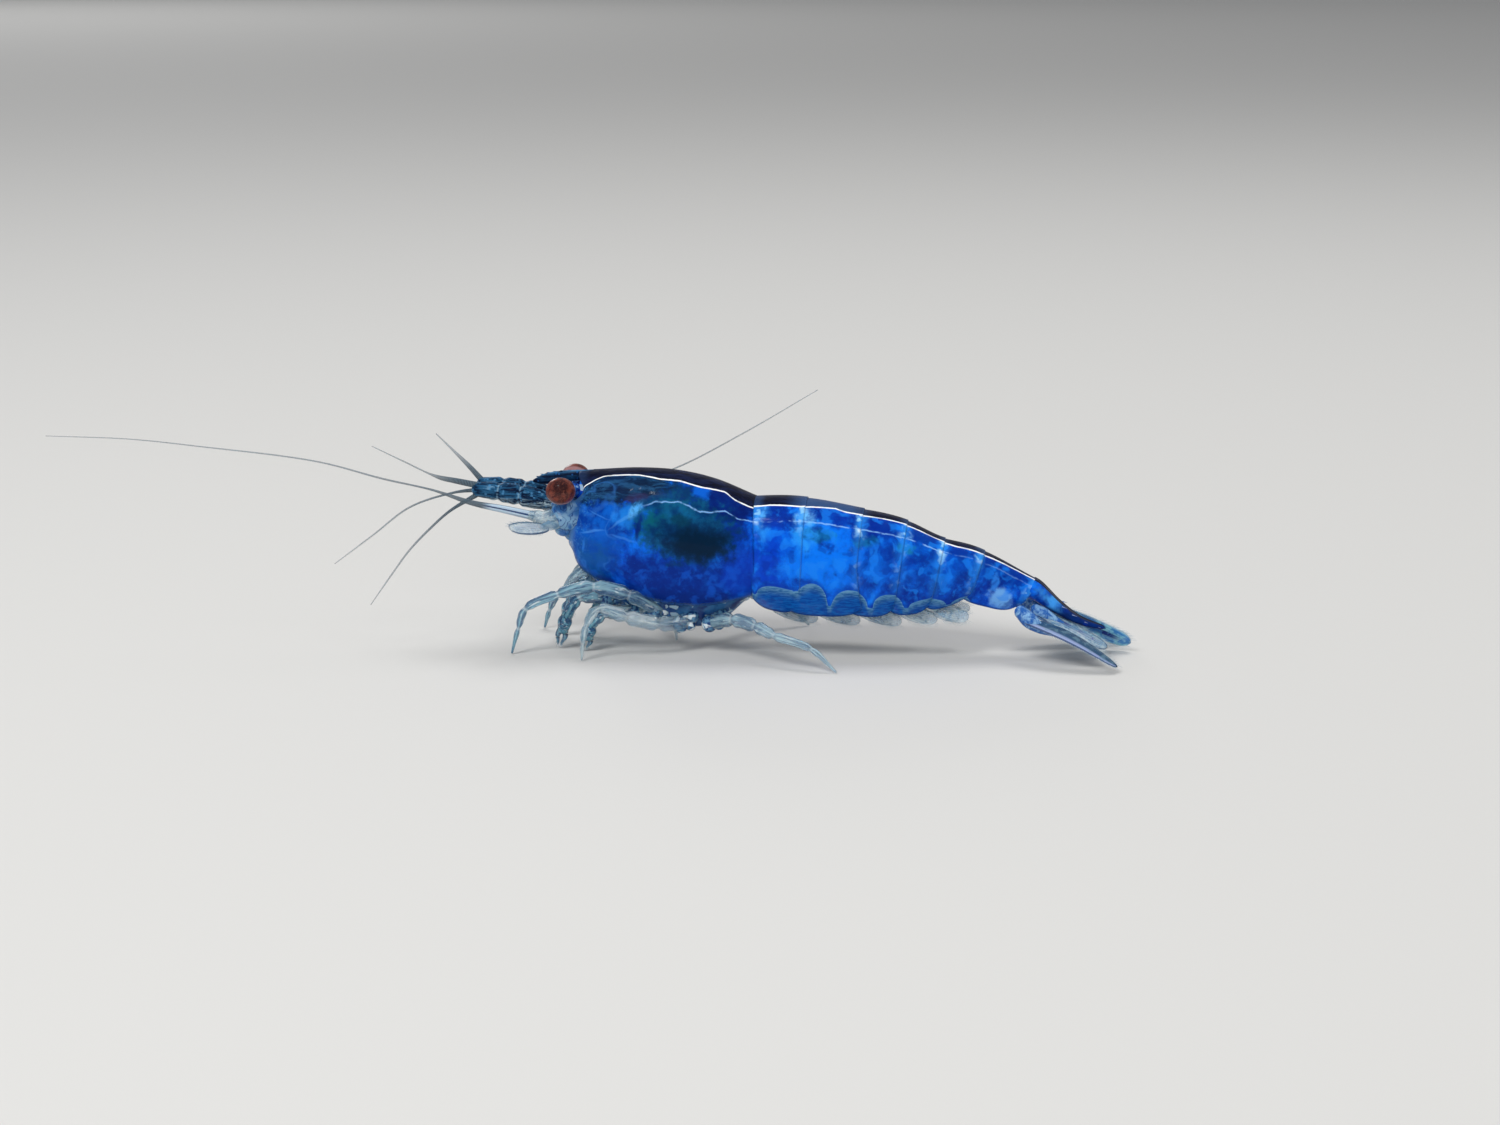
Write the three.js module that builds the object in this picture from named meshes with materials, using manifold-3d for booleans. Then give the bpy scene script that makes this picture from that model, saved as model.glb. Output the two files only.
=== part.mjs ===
// Blue dwarf shrimp (Neocaridina), a still life-size model standing on its walking legs and tail fan.
// Millimetres, +Z up. The head points to -X and the animal's left side to -Y. The floor is z = 0.
// While it is being built, x = 0 lies under the back edge of the carapace; at the end everything
// is moved so that the origin is the middle of the floor under the bounding box.
import * as THREE from "three";
import { mergeVertices } from "three/addons/utils/BufferGeometryUtils.js";
import Module from "manifold-3d";

const wasm = await Module();
wasm.setup();

// ---- driving dimensions ----
const gap = 0.1; // air between neighbouring solids
const feelerThickness = 0.5; // thickness of the long thin flagella
const plateThickness = 0.5; // thickness of scales, swimmerets and tail blades
const bodySides = 20; // corners round the trunk
const smallSides = 12; // corners round the head, the underside and the telson
const limbSides = 8;
const feelerSides = 6;

const upward = new THREE.Vector3(0, 0, 1);
const rightward = new THREE.Vector3(0, 1, 0);

const finish = (color, roughness) => new THREE.MeshStandardMaterial({ color, roughness, metalness: 0 });
const materials = {
  shell: finish(0x0a3fae, 0.25),
  band: finish(0x101838, 0.3),
  eye: finish(0x4a211d, 0.15),
  limb: finish(0x5f8fb0, 0.3),
  feeler: finish(0x3b5563, 0.4),
  fin: finish(0x7fb2cc, 0.25),
};

const shrimp = new THREE.Group();
const add = (name, geometry, material) => {
  const mesh = new THREE.Mesh(geometry, material);
  mesh.name = name;
  shrimp.add(mesh);
};

// Left is -Y. Every paired piece is made by one function called for both sides.
const sides = [
  { name: "left", y: -1 },
  { name: "right", y: 1 },
];

// ---- shaping helpers ----

// Bends a closed unit cylinder: place(t, a, r) gives the point at share t along it, at angle a (0 is up,
// growing towards +Y), at share r of the radius. Caps come with the cylinder.
const bentCylinder = (around, along, place) => {
  const cylinder = new THREE.CylinderGeometry(1, 1, 1, around, along);
  const spots = cylinder.attributes.position;
  const spot = new THREE.Vector3();
  for (let i = 0; i < spots.count; i += 1) {
    spot.fromBufferAttribute(spots, i);
    const made = place(spot.y + 0.5, Math.atan2(spot.x, spot.z), Math.min(1, Math.hypot(spot.x, spot.z)));
    spots.setXYZ(i, made.x, made.y, made.z);
  }
  return facingOut(closed(cylinder));
};

// Keeps only the positions and merges the shared vertices.
const mergeDistance = 1e-4;
function closed(geometry) {
  const bare = geometry.clone();
  bare.deleteAttribute("normal");
  bare.deleteAttribute("uv");
  return mergeVertices(bare, mergeDistance);
}

// Turns the triangles over if the closed surface they make has its inside out.
function facingOut(geometry) {
  const spots = geometry.attributes.position;
  const corners = geometry.index.array;
  const [a, b, c] = [new THREE.Vector3(), new THREE.Vector3(), new THREE.Vector3()];
  let volume = 0;
  for (let i = 0; i < corners.length; i += 3) {
    a.fromBufferAttribute(spots, corners[i]);
    b.fromBufferAttribute(spots, corners[i + 1]);
    c.fromBufferAttribute(spots, corners[i + 2]);
    volume += a.dot(b.cross(c));
  }
  if (volume < 0) {
    for (let i = 0; i < corners.length; i += 3) {
      [corners[i], corners[i + 1]] = [corners[i + 1], corners[i]];
    }
  }
  return geometry;
}

const solidOf = (geometry) =>
  new wasm.Manifold(
    new wasm.Mesh({
      numProp: 3,
      vertProperties: new Float32Array(geometry.attributes.position.array),
      triVerts: new Uint32Array(geometry.index.array),
    }),
  );

const geometryOf = (solid) => {
  const { numProp, vertProperties, triVerts } = solid.getMesh();
  const geometry = new THREE.BufferGeometry();
  const spots = new Float32Array((vertProperties.length / numProp) * 3);
  for (let i = 0; i < spots.length / 3; i += 1) {
    spots.set(vertProperties.subarray(i * numProp, i * numProp + 3), i * 3);
  }
  geometry.setAttribute("position", new THREE.BufferAttribute(spots, 3));
  geometry.setIndex(new THREE.BufferAttribute(new Uint32Array(triVerts), 1));
  return geometry;
};

const largest = (solid) =>
  solid.decompose().reduce((best, piece) => (piece.volume() > best.volume() ? piece : best));

// Takes the cutters out of a geometry and keeps the largest body that is left.
const cut = (geometry, ...cutters) =>
  geometryOf(largest(cutters.reduce((left, cutter) => left.subtract(cutter), solidOf(geometry))));

// Everything below the floor, to make small flats on what stands on it.
const underFloor = solidOf(closed(new THREE.BoxGeometry(80, 60, 10).translate(0, 0, -5)));

// Reads a list of numbers at share t, with straight steps from one number to the next.
const readAt = (numbers, t) => {
  const steps = numbers.length - 1;
  const from = Math.min(Math.floor(t * steps), steps - 1);
  return THREE.MathUtils.lerp(numbers[from], numbers[from + 1], t * steps - from);
};

// A smooth line through a few points. Shares from 0 to 1 step evenly from point to point.
const line = (points) =>
  new THREE.CatmullRomCurve3(points.map((p) => new THREE.Vector3(...p)), false, "centripetal");

// ---- the trunk: carapace and six tail segments ----

// A cross-section between the back line and the lower edge. Angles up to archEnd, as shares of half a
// turn, are the round back; up to wallEnd the side wall, drawn in by inTurn at its lower edge; the rest
// is the underside, which rises by hollow inside walls that are wall thick.
const hollowRise = 2.2; // how soon the underside reaches its full height
const hollowRound = 0.7; // below 1 spreads the underside's points towards the walls
const crossSection = (top, low, halfWidth, a, r, shape) => {
  const share = Math.abs(a) / Math.PI;
  const height = top.distanceTo(low);
  const belly = shape.belly * height;
  let across = 0;
  let up = 0;
  if (share <= shape.archEnd) {
    const turn = (share / shape.archEnd) * (Math.PI / 2);
    across = halfWidth * Math.sin(turn) ** shape.squareness;
    up = belly + (height - belly) * Math.cos(turn) ** shape.squareness;
  } else if (share <= shape.wallEnd) {
    const down = (share - shape.archEnd) / (shape.wallEnd - shape.archEnd);
    across = halfWidth * (1 - shape.inTurn * down * down);
    up = belly * (1 - down);
  } else {
    const inward = (share - shape.wallEnd) / (1 - shape.wallEnd);
    across = (halfWidth * (1 - shape.inTurn) - shape.wall) * (1 - inward) ** hollowRound;
    up = shape.hollow * Math.min(1, inward * hollowRise);
  }
  const lift = new THREE.Vector3().subVectors(top, low).normalize();
  return low
    .clone()
    .addScaledVector(lift, belly + (up - belly) * r)
    .addScaledVector(rightward, Math.sign(a) * across * r);
};

const trunkShape = { archEnd: 0.45, wallEnd: 0.7, squareness: 0.92, wall: 0.45 };
const carapaceShape = { ...trunkShape, belly: 0.42, inTurn: 0.22, hollow: 0.15 };
const segmentShape = { ...trunkShape, belly: 0.4, inTurn: 0.16, hollow: 0.85 };
const lastSegmentShape = { ...trunkShape, belly: 0.5, inTurn: 0.3, hollow: 0.25, wall: 0.3 };

// A back line is given as [x, half width, z], and a lower edge as [x, 0, z].
const carapaceTop = line([
  [-7.7, 1.15, 8.0],
  [-6.5, 1.68, 8.1],
  [-5.0, 2.05, 8.18],
  [-3.3, 2.25, 8.1],
  [-1.6, 2.28, 7.74],
  [0.05, 2.12, 7.08],
]);
const carapaceLow = line([
  [-8.12, 0, 4.75],
  [-7.42, 0, 3.7],
  [-5.6, 0, 2.92],
  [-3.7, 0, 2.36],
  [-1.8, 0, 2.3],
  [0.2, 0, 2.75],
]);
const carapaceRings = 10;

// grow swells it on every side, for cutting clearance into its neighbours.
const carapace = (grow = 0) =>
  bentCylinder(bodySides, carapaceRings, (t, a, r) => {
    const back = carapaceTop.getPoint(t);
    const top = new THREE.Vector3(back.x, 0, back.z + grow);
    const low = carapaceLow.getPoint(t).addScaledVector(upward, -grow);
    const made = crossSection(top, low, back.y + grow, a, r, carapaceShape);
    made.x += (2 * t - 1) * grow;
    return made;
  });

// The tail segments meet at these stations.
const tailTop = line([
  [0.15, 2.08, 7.04],
  [2.25, 2.12, 7.01],
  [4.85, 2.05, 6.56],
  [6.86, 1.85, 6.1],
  [8.56, 1.58, 5.32],
  [10.22, 1.22, 4.86],
  [12.91, 0.78, 3.46],
]);
const tailLow = line([
  [0.3, 0, 2.35],
  [2.1, 0, 2.05],
  [4.5, 0, 1.98],
  [6.35, 0, 2.0],
  [7.95, 0, 2.15],
  [9.55, 0, 2.5],
  [11.95, 0, 2.0],
]);
const segmentCount = 6;
const segmentRings = 4;
const segmentStep = 0.05; // each segment's front edge is this share narrower than its back edge
const cornerLift = 0.22; // rounds the lower corners of each side plate
const jointGap = 1.25 * gap; // measured along the back, where the joints are widest

const tailSegment = (index) => {
  const shape = index === segmentCount - 1 ? lastSegmentShape : segmentShape;
  const start = index / segmentCount;
  const end = (index + 1) / segmentCount;
  const length = tailTop.getPoint(start).distanceTo(tailTop.getPoint(end));
  const margin = jointGap / 2 / length / segmentCount;
  return bentCylinder(bodySides, segmentRings, (t, a, r) => {
    const station = THREE.MathUtils.lerp(start + margin, end - margin, t);
    const back = tailTop.getPoint(station);
    const low = tailLow.getPoint(station);
    const narrowing = t === 0 ? segmentStep : 0;
    const top = new THREE.Vector3(back.x, 0, back.z).lerp(low, narrowing / 2);
    low.z += cornerLift * Math.abs(2 * t - 1) ** 3;
    return crossSection(top, low, back.y * (1 - narrowing), a, r, shape);
  });
};

const addTrunk = () => {
  add("carapace", carapace(), materials.shell);
  for (let i = 0; i < segmentCount; i += 1) {
    add(`abdomen_${i + 1}`, tailSegment(i), materials.shell);
  }
};

// ---- rostrum ----

const rostrumThickness = 0.5;

// A short blunt blade between the eyes, drawn in x and z and then stood upright on the middle line.
const rostrum = () => {
  const rootX = -7.75 - gap;
  const tipX = -9.88;
  const blade = new THREE.Shape();
  blade.moveTo(rootX, 8.02);
  blade.quadraticCurveTo(-8.8, 8.03, -9.45, 7.82);
  blade.quadraticCurveTo(tipX + 0.02, 7.66, tipX, 7.48);
  blade.quadraticCurveTo(tipX + 0.06, 7.27, -9.45, 7.29);
  blade.quadraticCurveTo(-8.9, 7.5, rootX, 7.5);
  const made = new THREE.ExtrudeGeometry(blade, {
    depth: rostrumThickness,
    bevelEnabled: false,
    curveSegments: 5,
  });
  return closed(made.rotateX(Math.PI / 2).translate(0, rostrumThickness / 2, 0));
};

// ---- limbs and feelers ----

// A limb through joints given as [x, y, z, radius]. Its rings stand square to it and are turned about
// the side direction, which is level and square to the limb's own run unless another is given.
const limb = (joints, { around = limbSides, perSegment = 2, side = null } = {}) => {
  const path = line(joints.map(([x, y, z]) => [x, y, z]));
  const radii = joints.map((joint) => joint[3]);
  const run = path.getPoint(1).sub(path.getPoint(0));
  const sideways = side ?? new THREE.Vector3(-run.y, run.x, 0).normalize();
  return bentCylinder(around, radii.length * perSegment - perSegment, (t, a, r) => {
    const along = path.getTangent(t);
    const across = sideways.clone().addScaledVector(along, -sideways.dot(along)).normalize();
    const out = new THREE.Vector3().crossVectors(across, along);
    const radius = readAt(radii, t) * r;
    return path
      .getPoint(t)
      .addScaledVector(out, Math.cos(a) * radius)
      .addScaledVector(across, Math.sin(a) * radius);
  });
};

const feeler = (points) =>
  limb(
    points.map((point) => [...point, feelerThickness / 2]),
    { around: feelerSides, perSegment: 3, side: upward },
  );

// ---- head ----

// The face between the carapace and the feelers, narrowing forwards.
const headShape = { back: -8.07, front: -9.05, z: 6.05, halfWidth: 1.0, halfHeight: 0.98, tip: 0.55 };
const headSlant = 0.13; // leans the back face to follow the front of the carapace
const headBlock = (grow = 0) =>
  bentCylinder(smallSides, 4, (t, a, r) => {
    const narrowing = 1 - headShape.tip * t * t;
    const across = Math.sin(a) * (headShape.halfWidth + grow) * narrowing * r;
    const up = Math.cos(a) * (headShape.halfHeight + grow) * narrowing * r;
    const x = THREE.MathUtils.lerp(headShape.back, headShape.front - grow, t) + headSlant * up * (1 - t);
    return new THREE.Vector3(x, across, headShape.z + up);
  });

const eyeRadius = 0.64;
const eyeLength = 1.06; // along the body, against its radius
const eyeHeight = 0.95;
const eyeAt = { x: -8.3, y: 1.65, z: 7.38 };
const eyeball = () => new THREE.SphereGeometry(eyeRadius, 16, 10);
const eye = (y) =>
  closed(
    eyeball()
      .rotateX(Math.PI / 2)
      .scale(eyeLength, 1, eyeHeight)
      .translate(eyeAt.x, y * eyeAt.y, eyeAt.z),
  );
const eyestalk = (y) => {
  const stalk = limb(
    [
      [-7.95, y * 0.72, 7.25, 0.26],
      [-8.12, y * 1.05, 7.3, 0.33],
      [eyeAt.x, y * 1.4, eyeAt.z, 0.45],
    ],
    { side: upward },
  );
  const swell = 1 + gap / (eyeRadius * eyeHeight);
  const socket = eyeball().scale(swell, swell, swell).translate(eyeAt.x, y * eyeAt.y, eyeAt.z);
  return cut(stalk, solidOf(closed(socket)), solidOf(carapace(gap)));
};

// The three-jointed stem of a first feeler, lying beside its twin.
const antennuleStem = (y) =>
  limb(
    [
      [-9.2, y * 0.62, 6.72, 0.42],
      [-9.6, y * 0.6, 6.8, 0.5],
      [-10.33, y * 0.58, 6.94, 0.5],
      [-11.3, y * 0.58, 7.08, 0.46],
      [-12.2, y * 0.58, 7.16, 0.4],
    ],
    { side: upward, perSegment: 1 },
  );

const outerFlagella = {
  left: [
    [-12.42, -0.58, 7.42],
    [-14.06, -0.8, 7.75],
    [-15.43, -1.1, 8.45],
    [-16.8, -1.4, 9.17],
  ],
  right: [
    [-12.45, 0.62, 7.44],
    [-12.95, 0.9, 7.95],
    [-13.75, 1.5, 8.5],
    [-14.7, 2.3, 9.1],
  ],
};
const innerFlagella = {
  left: [
    [-12.42, -0.6, 6.8],
    [-13.5, -0.75, 6.19],
    [-14.35, -0.95, 5.44],
    [-15.3, -1.25, 4.44],
    [-16.15, -1.6, 3.26],
    [-16.94, -1.95, 2.1],
  ],
  right: [
    [-12.42, 0.62, 6.82],
    [-13.6, 0.75, 6.72],
    [-15.76, 1.1, 5.92],
    [-17.6, 1.4, 4.5],
    [-19.49, 1.8, 3.04],
  ],
};

// The long second feelers: the left one points forwards, the right one is swept back past the body.
const antennae = {
  left: [
    [-9.95, -1.33, 6.22],
    [-12.4, -1.4, 6.72],
    [-14.1, -1.6, 7.3],
    [-16.3, -1.85, 7.82],
    [-19.2, -2.15, 8.6],
    [-24.3, -2.8, 9.3],
    [-27.4, -3.2, 9.65],
    [-30.9, -3.8, 9.83],
  ],
  right: [
    [-9.95, 1.33, 6.24],
    [-10.9, 1.8, 6.5],
    [-11.4, 3.1, 6.6],
    [-10.4, 4.4, 6.35],
    [-7.5, 4.6, 6.2],
    [-4.1, 4.4, 7.27],
    [-0.8, 4.6, 9.0],
    [2.55, 4.8, 11.0],
  ],
};
const antennaBase = (y) =>
  cut(
    limb(
      [
        [-8.3, y * 0.9, 5.95, 0.5],
        [-8.9, y * 1.15, 6.0, 0.42],
        [-9.75, y * 1.32, 6.18, 0.3],
      ],
      { side: upward },
    ),
    solidOf(headBlock(gap)),
    solidOf(carapace(gap)),
  );

// A leaf-shaped plate: its length runs along x from 0, its width along y, its thickness along z.
// point is the half width of its blunt tip, as a share of the width.
const leaf = (length, width, { point = 0.25, segments = 4 } = {}) => {
  const root = width * 0.22;
  const swell = width * 0.62;
  const early = length * 0.25;
  const late = length * 0.8;
  const outline = new THREE.Shape();
  outline.moveTo(0, -root);
  outline.bezierCurveTo(early, -swell, late, -swell, length, -width * point);
  outline.quadraticCurveTo(length * 1.03, 0, length, width * point);
  outline.bezierCurveTo(late, swell, early, swell, 0, root);
  const made = new THREE.ExtrudeGeometry(outline, {
    depth: plateThickness,
    bevelEnabled: false,
    curveSegments: segments,
  });
  return closed(made.translate(0, 0, -plateThickness / 2));
};

// Lays a plate from its root to its tip. At roll 0 it lies level across; a positive roll lifts the side
// that is on the left when looking from root to tip.
const layPlate = (geometry, from, to, roll) => {
  const root = new THREE.Vector3(...from);
  const along = new THREE.Vector3(...to).sub(root).normalize();
  const across = new THREE.Vector3().crossVectors(upward, along).normalize();
  const normal = new THREE.Vector3().crossVectors(along, across);
  const place = new THREE.Matrix4().makeBasis(along, across, normal).setPosition(root);
  return geometry.clone().rotateX(roll).applyMatrix4(place);
};

const lengthOf = (from, to) => new THREE.Vector3(...from).distanceTo(new THREE.Vector3(...to));

// The leaf-shaped scales of the second feelers stand out sideways from the head.
const scale = { from: [-8.95, 1.75, 5.72], to: [-10.1, 3.75, 6.05], width: 0.9, roll: 0.5 };
const antennalScale = (y) => {
  const from = [scale.from[0], y * scale.from[1], scale.from[2]];
  const to = [scale.to[0], y * scale.to[1], scale.to[2]];
  return layPlate(leaf(lengthOf(from, to), scale.width), from, to, y * scale.roll);
};

const maxilliped = (y) =>
  limb(
    [
      [-7.5, y * 0.38, 3.0, 0.27],
      [-7.87, y * 0.38, 2.6, 0.27],
      [-8.12, y * 0.38, 1.95, 0.26],
      [-8.2, y * 0.38, 1.15, 0.25],
    ],
    { side: rightward },
  );

const addHead = () => {
  add("rostrum", rostrum(), materials.band);
  add("head", headBlock(), materials.shell);
  for (const { name, y } of sides) {
    add(`eyestalk_${name}`, eyestalk(y), materials.shell);
    add(`eye_${name}`, eye(y), materials.eye);
    add(`antennule_${name}`, antennuleStem(y), materials.shell);
    add(`antennule_outer_${name}`, feeler(outerFlagella[name]), materials.feeler);
    add(`antennule_inner_${name}`, feeler(innerFlagella[name]), materials.feeler);
    add(`antenna_base_${name}`, antennaBase(y), materials.limb);
    add(`antenna_${name}`, feeler(antennae[name]), materials.feeler);
    add(`antennal_scale_${name}`, antennalScale(y), materials.fin);
    add(`maxilliped_${name}`, maxilliped(y), materials.limb);
  }
};

// ---- thorax underside and legs ----

// The underside that the legs grow from, showing below the carapace.
const keelTop = line([
  [-7.3, 0.55, 3.4],
  [-5.5, 0.72, 2.65],
  [-3.5, 0.8, 2.18],
  [-1.8, 0.8, 2.12],
  [0.05, 0.7, 2.4],
]);
const keelLow = line([
  [-7.0, 0, 2.85],
  [-5.4, 0, 1.5],
  [-3.6, 0, 0.98],
  [-1.8, 0, 0.95],
  [-0.05, 0, 1.6],
]);
const keel = (grow = 0) =>
  bentCylinder(smallSides, 6, (t, a, r) => {
    const top = keelTop.getPoint(t);
    const low = keelLow.getPoint(t);
    const halfWidth = top.y + grow;
    const halfHeight = (top.z - low.z) / 2 + grow;
    return new THREE.Vector3(
      (top.x + low.x) / 2 + (2 * t - 1) * grow,
      Math.sin(a) * halfWidth * r,
      (top.z + low.z) / 2 + Math.cos(a) * halfHeight * r,
    );
  });

// Each leg from its hip to its tip as [x, distance from the middle, z, radius].
// Legs 1 and 2 are short arms with small pincers, the same on both sides but for a small shift.
// Legs 3 to 5 walk. They start below the floor where they end in a foot, and the floor cuts them flat.
const footDepth = -0.1;
const arms = {
  1: [
    [-6.3, 0.75, 2.3, 0.32],
    [-7.6, 1.0, 2.35, 0.3],
    [-8.25, 1.12, 1.55, 0.27],
    [-8.45, 1.15, 1.1, 0.33],
    [-8.5, 1.05, 0.3, 0.25],
  ],
  2: [
    [-5.0, 0.9, 1.8, 0.32],
    [-6.45, 1.3, 1.7, 0.3],
    [-7.1, 1.45, 1.2, 0.27],
    [-7.35, 1.5, 0.85, 0.32],
    [-7.45, 1.4, 0.22, 0.25],
  ],
};
const rightArmShift = { x: -0.2, z: 0.1 };
const walkingLegs = {
  3: {
    left: [
      [-4.1, 1.0, 1.95, 0.36],
      [-5.3, 1.75, 2.75, 0.38],
      [-6.8, 2.0, 3.12, 0.4],
      [-8.4, 2.15, 2.78, 0.32],
      [-9.85, 2.25, 2.1, 0.27],
      [-10.2, 2.28, 1.2, 0.25],
      [-10.5, 2.3, footDepth, 0.25],
    ],
    right: [
      [-4.0, 1.0, 2.0, 0.34],
      [-5.1, 1.85, 2.55, 0.36],
      [-6.6, 2.1, 2.6, 0.36],
      [-8.0, 2.25, 2.25, 0.3],
      [-9.2, 2.4, 1.65, 0.27],
      [-9.6, 2.45, 0.9, 0.25],
      [-9.85, 2.5, footDepth, 0.25],
    ],
  },
  4: {
    left: [
      [-2.9, 1.05, 1.35, 0.36],
      [-3.9, 1.95, 1.5, 0.38],
      [-5.3, 2.45, 1.9, 0.36],
      [-6.5, 2.8, 2.3, 0.3],
      [-7.0, 3.0, 1.6, 0.26],
      [-7.15, 3.1, 0.8, 0.25],
      [-7.2, 3.15, footDepth, 0.25],
    ],
    right: [
      [-2.9, 1.05, 1.45, 0.36],
      [-3.2, 1.8, 1.75, 0.37],
      [-3.6, 2.5, 2.0, 0.34],
      [-3.85, 2.85, 1.75, 0.28],
      [-3.8, 2.45, 1.15, 0.26],
      [-3.6, 1.55, 0.5, 0.25],
      [-3.45, 0.75, footDepth, 0.25],
    ],
  },
  5: {
    left: [
      [-1.6, 1.0, 1.4, 0.36],
      [-0.6, 1.7, 1.7, 0.34],
      [0.5, 2.4, 1.6, 0.34],
      [1.4, 3.0, 1.35, 0.29],
      [3.1, 3.7, 0.95, 0.27],
      [4.2, 4.1, footDepth, 0.25],
    ],
    right: [
      [-1.6, 1.0, 1.4, 0.36],
      [-0.9, 1.8, 1.8, 0.34],
      [-0.3, 2.6, 1.9, 0.33],
      [0.3, 3.3, 1.6, 0.28],
      [1.5, 3.9, 1.0, 0.26],
      [2.3, 4.2, footDepth, 0.25],
    ],
  },
};

const addLeg = (name, joints, side) => {
  const placed = joints.map(([x, out, z, radius]) => [x, side.y * out, z, radius]);
  const roomForBody = [solidOf(keel(gap)), solidOf(carapace(gap))];
  add(`leg_${name}_${side.name}`, cut(limb(placed), ...roomForBody, underFloor), materials.limb);
};

const shifted = (joints, { x, z }) => joints.map((joint) => [joint[0] + x, joint[1], joint[2] + z, joint[3]]);

const addLegs = () => {
  add("thorax", keel(), materials.limb);
  for (const side of sides) {
    for (const [name, joints] of Object.entries(arms)) {
      addLeg(name, side.name === "left" ? joints : shifted(joints, rightArmShift), side);
    }
    for (const [name, pair] of Object.entries(walkingLegs)) {
      addLeg(name, pair[side.name], side);
    }
  }
};

// ---- swimmerets ----

const swimmeret = { width: 0.85, roll: 0.35, out: 0.72 }; // out is the distance from the middle

// Root x and z, tip x and z of each pair, front to back.
const swimmeretSpans = [
  [1.2, 2.2, 2.7, 1.6],
  [3.1, 2.15, 4.6, 1.55],
  [5.0, 2.15, 6.45, 1.55],
  [6.8, 2.2, 8.05, 1.7],
  [8.4, 2.2, 9.45, 1.85],
];

const addSwimmerets = () => {
  swimmeretSpans.forEach(([rootX, rootZ, tipX, tipZ], i) => {
    for (const { name, y } of sides) {
      const from = [rootX, y * swimmeret.out, rootZ];
      const to = [tipX, y * swimmeret.out, tipZ];
      const plate = leaf(lengthOf(from, to), swimmeret.width, { segments: 3 });
      add(`pleopod_${i + 1}_${name}`, layPlate(plate, from, to, -y * swimmeret.roll), materials.fin);
    }
  });
};

// ---- tail fan ----

// The ridge of the telson as [x, half width, z], and its depth below that at even steps.
const telsonTop = line([
  [13.1, 0.75, 3.4],
  [14.0, 0.68, 2.5],
  [14.9, 0.48, 1.83],
  [16.05, 0.25, 1.45],
]);
const telsonDepths = [1.0, 0.85, 0.6, 0.5];

const telson = (grow = 0) =>
  bentCylinder(smallSides, 5, (t, a, r) => {
    const ridge = telsonTop.getPoint(t);
    const along = telsonTop.getTangent(t);
    const down = new THREE.Vector3(along.z, 0, -along.x).normalize();
    const halfDepth = readAt(telsonDepths, t) / 2;
    return new THREE.Vector3(ridge.x, 0, ridge.z)
      .addScaledVector(down, halfDepth - Math.cos(a) * (halfDepth + grow) * r)
      .addScaledVector(rightward, Math.sin(a) * (ridge.y + grow) * r);
  });

// Tail blades beside and below the telson: an inner and an outer one on each side. A positive roll
// lifts the edge towards +Y. Their tips rest on the floor, which cuts them flat.
const tailBlades = {
  inner_left: { from: [12.95, -0.6, 2.1], to: [15.95, -1.1, 0.75], width: 0.95, roll: 0.25 },
  outer_left: { from: [12.2, -1.33, 1.95], to: [16.35, -2.8, 0.35], width: 1.15, roll: 0 },
  inner_right: { from: [12.95, 0.55, 2.1], to: [17.0, 1.0, 0.45], width: 1.1, roll: -0.95 },
  outer_right: { from: [12.2, 1.45, 1.9], to: [16.8, 2.58, 0.35], width: 1.15, roll: -0.6 },
};

const addTailFan = () => {
  add("telson", telson(), materials.shell);
  for (const [name, { from, to, width, roll }] of Object.entries(tailBlades)) {
    const plate = layPlate(leaf(lengthOf(from, to), width, { point: 0.3 }), from, to, roll);
    add(`uropod_${name}`, cut(plate, solidOf(telson(gap)), underFloor), materials.fin);
  }
};

addTrunk();
addHead();
addLegs();
addSwimmerets();
addTailFan();

// The origin goes to the floor under the middle of the whole animal, feelers included.
const bounds = new THREE.Box3().setFromObject(shrimp, true);
const centre = bounds.getCenter(new THREE.Vector3());
shrimp.position.set(-centre.x, -centre.y, 0);

export default shrimp;
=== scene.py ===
import math
import random
import bmesh
import bpy
from mathutils import Matrix, Vector


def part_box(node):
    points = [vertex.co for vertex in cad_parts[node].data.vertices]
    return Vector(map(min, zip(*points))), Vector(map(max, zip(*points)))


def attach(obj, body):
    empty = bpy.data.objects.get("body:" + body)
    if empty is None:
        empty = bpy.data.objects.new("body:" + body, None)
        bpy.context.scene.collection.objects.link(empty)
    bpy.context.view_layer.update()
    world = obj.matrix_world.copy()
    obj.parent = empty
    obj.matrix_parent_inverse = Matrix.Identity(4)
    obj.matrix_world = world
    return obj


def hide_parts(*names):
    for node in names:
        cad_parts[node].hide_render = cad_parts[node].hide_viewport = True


# A blue dwarf shrimp, life size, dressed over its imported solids.
# Pieces are laid out in millimetres: x = 0 under the back edge of the carapace, y = 0 on the
# middle line with the left side at -y, z = 0 on the floor. finishPiece moves them onto the frame.
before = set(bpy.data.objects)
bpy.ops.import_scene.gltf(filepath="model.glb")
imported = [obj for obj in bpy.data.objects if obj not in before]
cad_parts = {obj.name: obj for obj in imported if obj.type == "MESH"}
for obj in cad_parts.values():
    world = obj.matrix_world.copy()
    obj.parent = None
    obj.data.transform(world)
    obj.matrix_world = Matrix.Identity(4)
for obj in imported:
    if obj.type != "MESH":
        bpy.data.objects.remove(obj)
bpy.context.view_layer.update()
print("frame loaded:", len(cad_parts), "solids")

carapaceLow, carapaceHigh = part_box("carapace")
backEdge = 0.2  # the carapace's rearmost point, in the layout's own x
bodyShift = Vector((carapaceHigh.x * 1000 - backEdge, (carapaceLow.y + carapaceHigh.y) * 500, 0))
upward = Vector((0, 0, 1))
rightward = Vector((0, 1, 0))
sides = {"left": -1, "right": 1}
chance = random.Random(7)


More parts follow.
